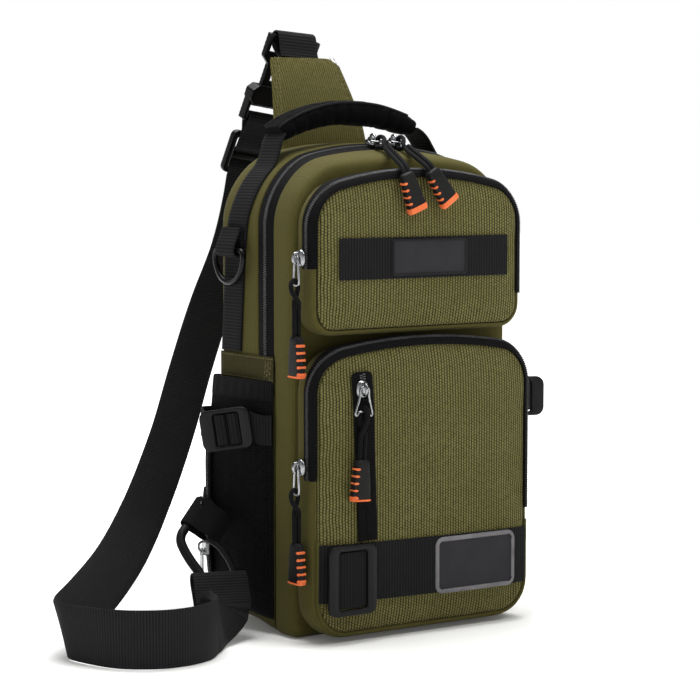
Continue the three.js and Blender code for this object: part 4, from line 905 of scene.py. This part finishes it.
for word, side, at, run, face, tilt, front, rear in SIDE_LOCKS:
    at, level, face, rise = np.array(at, float), unit(run), unit(face), np.array([0, 0, 1])
    lean, still = math.radians(tilt), math.cos(math.radians(tilt))
    run, up = level * still - rise * math.sin(lean), rise * still + level * math.sin(lean)
    route = [(side * x, y, at[2], *rise) for x, y in front]
    route += [(*(at + run * t + face * n), *up) for t, n in THREADED]
    route += [(side * x, y, at[2], *rise) for x, y in rear + STRAP_END]
    rows = course(route, 5)
    webbing(f"{word}_side_webbing", rows[:, :3], unit(rows[:, 3:]), 10.0, WEB_THICK, strap_webbing,
            "webbing", f"{word}_side_strap")
    moulded_frame(f"{word}_side_lock", at + face * 2.5, up, run, (13.8, 18, 6.0, 1.0), (10.8, 9.3, 1.6, 0),
                  2.8, black_abs)

# Handle: webbing sewn up each side of the body that stands off the top into one padded grip of black cloth.
# The grip is stuffed with foam, bound along its top edge, and quilted across by short seams.
WEB_DEPTH = np.array([(186, 30), (250, 25), (286, 19), (305, 18), (345, 18)])
HANDLE_Y, WEB_LIFT = 18.0, 1.0
HANDLE_ENDS = {
    "left": [(66.5, 316), (65, 321), (63.5, 326), (60.5, 331)],
    "right": [(63.5, 318.5), (60.5, 323), (57, 328), (52.5, 332.2), (48.2, 334.6)],
}
climb = outline(BODY, -WEB_LIFT, 20)
climb = climb[(climb[:, 0] > 67.5) & (climb[:, 1] > BAND_TOP + 1.5)]
climb = np.concatenate([[(BODY["half"] + WEB_LIFT, BAND_TOP + 1)], climb])
for side, word in ((-1, "left"), (1, "right")):
    flat = course([(x, z, 0) for x, z in (*climb, *HANDLE_ENDS[word])], 3)
    at = np.stack([side * flat[:, 0], np.interp(flat[:, 1], WEB_DEPTH[:, 0], WEB_DEPTH[:, 1]), flat[:, 1]], 1)
    webbing(f"{word}_handle_webbing", at, (0, 1, 0), 12.0, 1.7, strap_webbing, "webbing",
            f"{word}_handle_web")

grip_cloth = woven_cloth("black_polyester_grip_cloth", "#0c0b0c", "#030303", (1.4, 1.4), 0.4, "#070707", 0.4,
                         shine=0.02)
GRIP = [(-62, 330.4, 11.4, 6.0), (-59.5, 331.8, 12.2, 6.9), (-53, 335, 12.4, 7.6), (-42, 339.3, 12.5, 8.2),
        (-24, 343.8, 12.5, 8.7), (-8, 345.2, 12.5, 8.8), (14, 344, 12.5, 8.5), (30, 340.8, 12.5, 7.7),
        (42, 337.4, 12, 6.9), (47.4, 335.4, 11, 6)]
QUILT, GRIP_SIDES = 11.0, 36
grip_rows = course([(x, HANDLE_Y, z, deep, tall) for x, z, deep, tall in GRIP], 8)
grip_up = np.cross(unit(np.gradient(grip_rows[:, :3], axis=0)), (0, 1, 0))
grip_length = lengthwise(grip_rows[:, :3])
from_seam = (grip_length + QUILT / 2) % QUILT - QUILT / 2
turn = 2 * np.pi * np.arange(GRIP_SIDES) / GRIP_SIDES
c, v = (np.sign(w) * np.abs(w) ** 0.7 for w in (np.cos(turn), np.sin(turn)))
rings = []
for row, up, s, off in zip(grip_rows, grip_up, grip_length, from_seam):
    groove = 0.9 * math.exp(-(off / 1.1) ** 2) if 6 < s < grip_length[-1] - 6 else 0
    deep, tall = c * (row[3] - 0.7 - groove), v * (row[4] - 0.7 - groove)
    rings.append(row[:3] + deep[:, None] * (0, 1, 0) + tall[:, None] * up)
grip = lofted("handle_grip_padding", rings, grip_cloth)
quilted = [k for k in range(len(rings)) if abs(from_seam[k]) < 0.9 or k in (0, len(rings) - 1)]
inflate(grip, [k * GRIP_SIDES + c for k in quilted for c in range(GRIP_SIDES)], 5.0, 0.9)
fix(settle(grip), "webbing", "handle_grip")
bound, bound_up = grip_rows[2:-10], grip_up[2:-10]
for word, depth in (("front", -1), ("rear", 1)):
    edge = bound[:, :3] + bound_up * (bound[:, 4:5] * 0.78) + np.array([0, depth, 0]) * (bound[:, 3:4] * 0.78)
    rod(f"handle_grip_binding_{word}", edge, 0.9, strap_webbing, "webbing", sides=8, side=(0, 1, 0))

# D-ring: bent from round steel wire and plated glossy black. Its straight bar lies in a tab of folded
# webbing on the left side, and the ring swings out about it.
plated = moulded_abs("black_plated_steel", "#060607", "#19191b", 0.25, 1.2)
RING_AT, RING_HALF, RING_DROP, RING_WIRE = np.array([-94.4, 24, 253]), 17.5, 21.5, 2.0
bow = [RING_AT + (0, math.cos(a) * RING_HALF, -4 + math.sin(a) * (RING_DROP - 4))
       for a in np.linspace(math.pi, 2 * math.pi, 15)]
bar = [RING_AT + (0, s * (RING_HALF - 1.2), -1.2 if abs(s) == 1 else 0)
       for s in (1, 0.9, 0.6, -0.6, -0.9, -1)]
rod("d_ring_wire", course(bow + bar, 4, loop=True), RING_WIRE, plated, "plastic", "d_ring", sides=16,
    loop=True, body="d_ring", side=(1, 0, 0))
TAB = [(2.9, 268.5), (2.9, 258), (2.9, 253), (3.9, 250.4), (6.4, 249.4), (8.9, 250.4), (9.9, 253), (8.8, 258),
       (5.6, 265), (4.6, 268.5)]
tab_line = course([(-BODY["half"] - out, RING_AT[1], z) for out, z in TAB], 4)
webbing("dring_tab_webbing", tab_line, (0, 1, 0), 11.5, 1.2, strap_webbing, "webbing", "dring_tab")

# Strap yoke: a padded panel of closer woven cloth, sewn to the top of the back, with two rows of stitches
# down each edge.
YOKE = [(52.9, 290, 40), (52.6, 306, 39), (55.5, 322, 37.5), (59.5, 340, 35.5), (67, 360, 31.5),
        (75.6, 379, 27.5), (77, 382, 26.9), (78, 384, 26)]
yoke_rows = course([(0.6, y, z, half + 1.6) for y, z, half in YOKE], 8)
yoke_face = np.cross(unit(np.gradient(yoke_rows[:, :3], axis=0)), (1, 0, 0))
spread = np.linspace(-1, 1, 29)
thick = (0.7 + 0.9 * (1 - np.abs(spread) ** 6))[:, None]
rows = []
for row, normal in zip(yoke_rows, yoke_face):
    reach = spread * row[3] - np.maximum(spread, 0) * 6 * max(row[2] - 379, 0) / 5
    line = row[:3] + np.array([1, 0, 0]) * reach[:, None]
    rows.append(np.concatenate([line + normal * thick, (line - normal * thick)[::-1]]))
yoke_cloth = woven_cloth("olive_polyester_yoke_cloth", "#57532f", "#312e0d", (1.8, 1.5), 0.5, "#3d391a", 0.3)
yoke = lofted("yoke_panel", rows, yoke_cloth, crease=70)
both_skins = np.concatenate([spread, spread[::-1]])
held = [r * len(both_skins) + c for r in range(len(rows)) for c, at in enumerate(both_skins)
        if abs(at) > 0.8 or r in (0, 1, len(rows) - 1, len(rows) - 2)]
inflate(yoke, held, 2.0, 0.7)
yoke.modifiers.new("smooth_cloth", "SUBSURF").levels = 1
fix(settle(yoke), "pocket_cloth", "yoke")
half_way = len(yoke_face) // 2
for word, way in (("left", -1), ("right", 1)):
    for k, inset in enumerate((3.0, 6.0)):
        for face_word, sign in (("front", -1), ("rear", 1)):
            sewn = yoke_rows[:, :3] + np.array([1, 0, 0]) * (way * (yoke_rows[:, 3:4] - inset))
            facing = yoke_face * np.sign(yoke_face[half_way, 1]) * sign
            stitches(f"yoke_stitch_{word}_{k + 1}_{face_word}", sewn + facing * 1.65, facing[half_way],
                     "pocket_cloth")

# Buckle and glide: a side release buckle, moulded from glossy acetal, that hangs from a loop of webbing at
# the yoke's top. The shoulder strap is folded through its lower half and through a moulded glide.
chain_at = np.array([-2.0, 86.0, 397.0])
chain_down = unit((-0.15, 0.35, -0.92))
chain_wide = unit(np.array([1, 0, 0]) - chain_down * chain_down[0])
chain_face = np.cross(chain_wide, chain_down)


def on_chain(t, n):
    return chain_at + chain_down * t + chain_face * n


YOKE_WEB = [(78.3, 384.5), (79.8, 389), (81, 397), (82.3, 400.7), (86, 402.2), (89.7, 400.7), (91.2, 397),
            (91, 394), (88.7, 390.2), (85, 386.4), (80.3, 382), (76.4, 374)]
web_rows = course([(-2, y, z) for y, z in YOKE_WEB], 5)
webbing("yoke_loop_webbing", web_rows, unit((1, 0.03, -0.07)), 16.0, WEB_THICK, strap_webbing,
        "webbing", "yoke_web")
glossy_abs = moulded_abs("glossy_black_moulded_acetal", "#050506", "#1a1a1c", 0.28, 0.9)
for node in ("buckle_male", "buckle_female"):
    moulded(node, glossy_abs, "plastic", voxel=0.5, ease=6)
moulded_frame("strap_glide", on_chain(87.8, 2.5), chain_wide, chain_down, (23.5, 15.8, 4.5, 0),
              (18.6, 11.6, 2.0, 0), 4.6, glossy_abs)
glide_bar = scatter("strap_glide_bar", pill(42, 4.4, 2.6, 14), np.array([on_chain(91, 2.5)]),
                    (chain_wide, chain_down, chain_face), black_abs)
fix(glide_bar, "plastic", "strap_glide")

# Shoulder strap: one length of 37 mm webbing. It runs down behind the bag, lies folded over on the floor at
# the left, and comes back on edge to a snap hook that hangs from a ring at the left rear seam.
hook_at = np.array([-122.0, -6.0, 38.5])
hook_up = unit((0.15, 0.5, 0.85))
hook_wide = np.array([0.966, -0.259, 0])
hook_wide = unit(hook_wide - hook_up * np.dot(hook_wide, hook_up))
hook_face = np.cross(hook_wide, hook_up)


def on_hook(x, y, z):
    return hook_at + hook_wide * x + hook_up * y + hook_face * z


BUCKLE_FOLD = [(72, -2.6), (66, -3.2), (61, -4), (57.8, -2.9), (56.4, 0), (57.8, 2.9), (61, 4), (66, 2.2),
               (70, 0), (72, -0.1), (82.6, 0), (83.6, 0.4), (87.8, 4.5), (89, 4.9), (93, 4.9), (94.2, 4.5),
               (98.4, 0.4)]
STRAP_RUN = [
    (-20, 124, 283, 0, -8), (-29, 124, 252, 0, -8), (-50, 121, 211, 4, -8), (-74, 110, 166, 6, -12),
    (-99, 93, 124, 6, -16), (-133, 70, 80, 2, -20), (-166, 47, 50, -6, -26), (-203, 22, 30, -10, -44),
    (-230, 4, 20, -10, -68), (-239, -10, 19, 0, -78), (-235, -30, 19, -20, -84), (-222, -56, 19, -60, -90),
    (-198, -71, 19, -60, -90), (-170, -68, 19, -60, -90), (-151, -52, 19, -40, -90),
    (-139, -34, 20, -20, -72),
]
HOOK_FOLD = [(-10, 4), (0, 4.3), (3.1, 3.1), (4.3, 0), (3.1, -3.1), (0, -4.3), (-10, -3.6), (-18, -3.4)]


def width_way(turn, rise):
    a, b = math.radians(turn), math.radians(rise)
    return np.array([math.cos(b) * math.cos(a), math.cos(b) * math.sin(a), math.sin(b)])


last_way = unit(hook_wide * 0.8 - hook_face * 0.1 + np.array([0, 0, -0.45]))
route = [(*on_chain(105, 0), *chain_wide)]
route += [(x, y, z, *width_way(turn, rise)) for x, y, z, turn, rise in STRAP_RUN]
route.append((*on_hook(0, -22, 5), *last_way))
STEPS = 10
centre = course([row[:3] for row in route], STEPS)
ways = between(np.arange(len(centre)) / STEPS, np.arange(len(route)), np.array([row[3:] for row in route]))
fold = course([on_chain(t, n) for t, n in BUCKLE_FOLD] + [centre[0]], 4)[:-1]
tail = course([centre[-1]] + [on_hook(0, up, off) for up, off in HOOK_FOLD], 4)[1:]
strap_line = np.concatenate([fold, centre, tail])
ways = np.concatenate([np.tile(chain_wide, (len(fold), 1)), ways, np.tile(hook_wide, (len(tail), 1))])
shoulder_webbing = ribbed_tape("black_nylon_strap_webbing", "#2b2b2c", "#0f0f10", 1.9, 1.6, 0.5, 0.02)
webbing("shoulder_strap_webbing", strap_line, unit(ways), 18.5, WEB_THICK, shoulder_webbing,
        "webbing", "shoulder_strap")

# Snap hook: an open hook and its sprung gate, moulded from black ABS, on the folded end of the strap. A tab
# from the rear seam is folded round its upper bar, and a plated steel ring lies in the tab.
HOOK_BACK = [(-2.5, 57), (-10, 47.5), (-17.5, 37.5), (-21, 32.5), (-22, 28), (-20.8, 22.5), (-17.3, 14),
             (-12.5, 5), (-11.2, 1), (-8, 0), (8, 0), (11, 1.6), (10.4, 8), (7.6, 16), (2.6, 24),
             (-4, 29.2)]
hook_line = course([on_hook(x, y, 0) for x, y in HOOK_BACK], 5)
stout = np.interp(np.arange(len(hook_line)), [0, 37, 46, 75], [3.1, 3.3, 2.3, 2.0])
rod("snap_hook_moulding", hook_line, stout, black_abs, "plastic", "snap_hook", sides=16, side=hook_face)
gate = course([on_hook(x, y, 0) for x, y in ((-3.9, 30.9), (1, 35.6), (5.2, 41.2))], 6)
rod("hook_gate_wire", gate, 2.0, black_abs, "plastic", "hook_gate", sides=14, body="hook_gate",
    side=hook_face)
link_up = unit((0.48, 0.8, 0.34))
link_wide = unit(hook_face - link_up * np.dot(hook_face, link_up))
link_face = np.cross(link_wide, link_up)
link_at = on_hook(-8, 44.9, 0) + link_up * 7.6
link = [link_at + link_up * np.sign(math.sin(a)) * abs(math.sin(a)) ** 0.4 * 6
        + link_wide * np.sign(math.cos(a)) * abs(math.cos(a)) ** 0.4 * 8
        for a in 2 * np.pi * np.arange(1, 17) / 16]
rod("hook_ring_wire", course(link, 4, loop=True), 1.7, plated, "plastic", "hook_ring", sides=12, loop=True,
    side=link_face)
tab_bar, bar_way = on_hook(-10, 47.5, 0), unit(hook_wide * 0.61 + hook_up * 0.79)
bar_out = np.cross(hook_face, bar_way)
bar_out *= np.sign(np.dot(bar_out, (-1, 0, 0)))
LINK_TAB = [(-15, -4.6), (-6, -4.4), (0, -4.3), (3.1, -3), (4.3, 0), (3.1, 3), (0, 4.3), (-6, 4.6), (-16, 4),
            (-24, 0)]
tab_route = [(-76, 50.4, 80, 0, 0, 1), (-84, 50, 80, 0, 0, 1), (-94, 50.7, 80, 0, 0, 1),
             (-101.5, 48, 80.5, *unit((0.15, 0.05, 0.95)))]
tab_route += [(*(tab_bar + bar_out * out + hook_face * off), *bar_way) for out, off in LINK_TAB]
tab_rows = course(tab_route, 5)
# The tab wears the darker knitted elastic finish rather than the webbing's, a painted shade on its fold.
webbing("hook_tab_webbing", tab_rows[:, :3], unit(tab_rows[:, 3:]), 11.0, 1.2, elastic, "webbing", "hook_tab")

# Zip sliders and pulls: nickel-plated cast sliders, each with a bent wire bail, a loop of round cord and a
# moulded rubber grip with orange ridges down one edge. The cord's loop crosses itself once below the bail.
# Bright nickel plate: smooth cast zinc under the plating, so the gloss varies a little.
nickel = speckled("nickel_plated_zinc", "#747577", "#a6a7a9", 2.0, 0.12, 0.3, {"Metallic": 1.0})
pull_rubber = moulded_rubber("moulded_black_pull_rubber", "#101010", "#191918", 0.5)
ridge_rubber = moulded_rubber("moulded_orange_pull_rubber", "#c9562a", "#e07a48", 0.45)
cord_cloth = ribbed_tape("black_braided_cord", "#1b1b1c", "#060607", 1.3, 0.9, 0.5, 0.02)
BAIL_LIFT, CORD_RADIUS, CORD_SIDES, CORD_APART = 4.1, 1.55, 10, 1.65
FACE_BAR_UP, LOOP_END = 2.3, 17
SLIDER = [(4.4, 5.6, 0), (4.7, 5.9, 0.7), (4.6, 5.8, 1.7), (4.0, 5.0, 2.5), (2.8, 3.6, 3.0), (1.2, 1.6, 3.15)]
BRIDGE = [(-3.6, 2), (-3.2, 5), (-1.4, 6.4), (1.4, 6.4), (3.2, 5), (3.6, 2)]
WIDE_LOOP = [(1.65, 14, 0.3), (1.2, 12, 1.3), (0, 9.3, 1.85), (-1.9, 6.6, 1.95), (-3.1, 3.6, 1.9),
             (-2.9, 0.6, 2.4), (-1.3, -1.9, 2.1)]
WIDE_LOOP += [(0, -2.8, 0)] + [(-u, s, -n) for u, s, n in WIDE_LOOP[::-1]]
DEEP_LOOP = [(0.3, 13.5, 1.65), (1.2, 10.8, 0.9), (1.8, 8, -0.6), (1.9, 5, -1.8), (1.4, 1.5, -2.1),
             (0.6, -1.9, -0.4), (0.1, -2.9, 2), (-0.7, -1.2, 4.4), (-1.4, 2, 5), (-1.8, 5.2, 4),
             (-1.8, 8.2, 1.7), (-1.2, 10.8, -0.8), (-0.3, 13.5, -1.65)]
GRIP_FORM = [(0, 2.8, 1.9), (0.4, 3.8, 2.5), (1.4, 4.8, 3.0), (4, 5.1, 3.1), (10, 5.8, 3.15), (16, 6.4, 3.2),
             (21.5, 6.8, 3.2), (24.2, 7.0, 3.1), (25.8, 6.7, 2.8), (26.5, 6.0, 2.2)]


def bail_line(length, spread, flared):
    """Half of a bail's wire loop, then its mirror image. A flared bail ends in two feet."""
    half = [(1.2, 1.2), (2.6, 0.6), (3.6, -5), (4.4, -length + 2), (3.4, -length)]
    if flared:
        half = [(1.4, 1.4), (3.0, 0.4), (3.5, -4), (4.7, -9), (6.0, -13.4), (6.5, -15.8), (5.7, -17),
                (4.7, -16.3), (3.9, -14.8)]
    return [(x * spread, y) for x, y in half] + [(-x * spread, y) for x, y in half[::-1]]


def slider(name, at, across, up, out):
    """Domed casting with a bridge over it that holds the bail."""
    turn = 2 * np.pi * np.arange(28) / 28
    wide, tall = (np.sign(v) * np.abs(v) ** 0.8 for v in (np.cos(turn), np.sin(turn)))
    rows = [at + np.outer(wide * w, across) + np.outer(tall * t, up) + out * z for w, t, z in SLIDER]
    fix(lofted(f"{name}_slider_casting", rows, nickel, crease=60), "steel", f"{name}_slider")
    over = course([at + up * y + out * z for y, z in BRIDGE], 4)
    rod(f"{name}_slider_bridge", over, 0.95, nickel, "steel", f"{name}_slider", side=across)


def grip_mould(name, at, wide_way, up_way, wrap):
    """Tapered rubber grip with eased edges, and with orange ridges down one edge, an orange foot and sole."""
    deep_way = np.cross(wide_way, up_way)
    turn = 2 * np.pi * np.arange(28) / 28
    wide, deep = (np.sign(v) * np.abs(v) ** power for v, power in ((np.cos(turn), 0.45), (np.sin(turn), 0.5)))

    def block(word, form, finish):
        rows = [at - up_way * s + np.outer(wide * half, wide_way) + np.outer(deep * thick, deep_way)
                for s, half, thick in form]
        return fix(lofted(f"{name}_pull_{word}", rows, finish, crease=55), "rubber", f"{name}_pull")

    def bar(word, sizes, places):
        ways = (deep_way, up_way, wide_way)
        made = scatter(f"{name}_pull_{word}", pill(*sizes, 12), np.array(places), ways, ridge_rubber)
        return fix(made, "rubber", f"{name}_pull")

    body = block("grip", GRIP_FORM, pull_rubber)
    ridges = bar("ridges", (6.7, 2.3, wrap), [at - up_way * s + wide_way * (5.4 - wrap / 2 + 0.08 * s)
                                              for s in (6.0, 10.6, 15.2, 19.8)])
    foot = bar("foot", (6.6, 3.4, wrap + 1), [at - up_way * 24.6 + wide_way * (7 - wrap / 2)])
    top = 22.9 if name.endswith("main") else 25.6
    edges = [(top, 6.6, 2.6), (top + 0.1, 7.2, 3.35), (26.2, 7.3, 3.4), (26.8, 7.0, 3.0), (27, 6.2, 2.3)]
    return [body, ridges, foot, block("sole", edges, ridge_rubber)]


def zip_pull(name, at, out, hang, bail, spread, drape, grip_down, ridged, wrap):
    """Slider, bail, cord loop and grip of one zip. hang is the bail's way, drape the cord's course."""
    at, out, hang, grip_down = np.array(at, float), unit(out), unit(hang), unit(grip_down)
    ex = np.cross(out, hang)
    slider(name, at, ex, -hang, out)
    wire = [at + ex * x - hang * y + out * BAIL_LIFT for x, y in bail_line(bail, spread, name == "face")]
    rod(f"{name}_bail_wire", course(wire, 4, loop=True), 0.8, nickel, "steel", f"{name}_bail", loop=True,
        side=out)
    start = at + hang * (bail - FACE_BAR_UP * (name == "face")) + out * BAIL_LIFT
    points = course([start, *np.array(drape, float)], 6)
    lean = unit(np.gradient(points, axis=0))
    front = np.array([0, -1, 0]) if abs(out[2]) > 0.5 else out
    sideways = unit(np.cross(grip_down, front))
    face = unit(np.cross(sideways, lean))
    trail = lengthwise(points)
    loop, (u, n) = (DEEP_LOOP, (0, CORD_APART)) if ridged > 0 else (WIDE_LOOP, (CORD_APART, 0))
    below, path = np.linspace(trail[-1], LOOP_END, 8), []
    for u, s, n in [(u, s, n) for s in below] + loop + [(-u, s, -n) for s in below[::-1]]:
        base, off = (between(s, trail, line) for line in (points, face))
        narrow = 0.6 if name == "face" and s < 8 else 1
        path.append(base + lean[0] * min(s, 0) + sideways * u * narrow + off * n)
    path = course(path, 4)
    cord = rod(f"{name}_pull_cord", path, CORD_RADIUS, cord_cloth, "rubber", f"{name}_pull", sides=CORD_SIDES,
               side=sideways)
    weave = cord.data.attributes.new("thread", "FLOAT_VECTOR", "POINT")
    weave.data.foreach_set("vector", threads([0.0] * CORD_SIDES, lengthwise(path)).astype("f").ravel())
    parts = grip_mould(name, points[-1] - grip_down * 2.0, -sideways * ridged, -grip_down, wrap)


HUNG_BAIL, DRAPED_BAIL = 17, 9
HANGING = [("upper_pocket", (-87.9, -54, 250.5), (-1, 0, 0), 0.0, 35, 0.65, 1, 2.4),
           ("lower_pocket", (-91.4, -59, 116), (-1, 0, 0), 0.0, 33.5, 0.65, 1, 2.4),
           ("face", (-54.6, -73, 166), (0, -1, 0), -0.05, 30.5, 1.0, -1, 4.2)]
for name, at, out, lean, length, spread, ridged, wrap in HANGING:
    hang = unit((lean, 0, -1))
    drape = [at + hang * (HUNG_BAIL + length * t) + unit(out) * BAIL_LIFT for t in (0.25, 0.6, 1)]
    zip_pull(name, at, out, hang, HUNG_BAIL, spread, drape, hang, ridged, wrap)
DRAPED = [
    ("left_main", (-3, -11.7, 323.7), (-0.12, -0.96, -0.25), (8.1, 0, -20.3),
     [(-6.5, -32, 322.5), (-9.5, -42, 319), (-13, -55, 314), (-16, -67, 308.5), (-16.8, -70.6, 303)]),
    ("right_main", (14.4, -11.7, 323.3), (-0.16, -0.95, -0.25), (13.2, 0, -18.4),
     [(10, -32, 322.3), (7.5, -42, 319), (5, -55, 314.5), (3.4, -67, 309.5), (4, -70.8, 305)]),
]
for name, at, hang, grip_down, drape in DRAPED:
    hang = unit(hang)
    out = unit(np.array([0, 0, 1]) - hang * hang[2])
    zip_pull(name, at, out, hang, DRAPED_BAIL, 1.1, drape, grip_down, -1, 3.6)
for node in ("rear_slider", "rear_tongue"):
    moulded(node, nickel, "steel", voxel=0.25, ease=3)
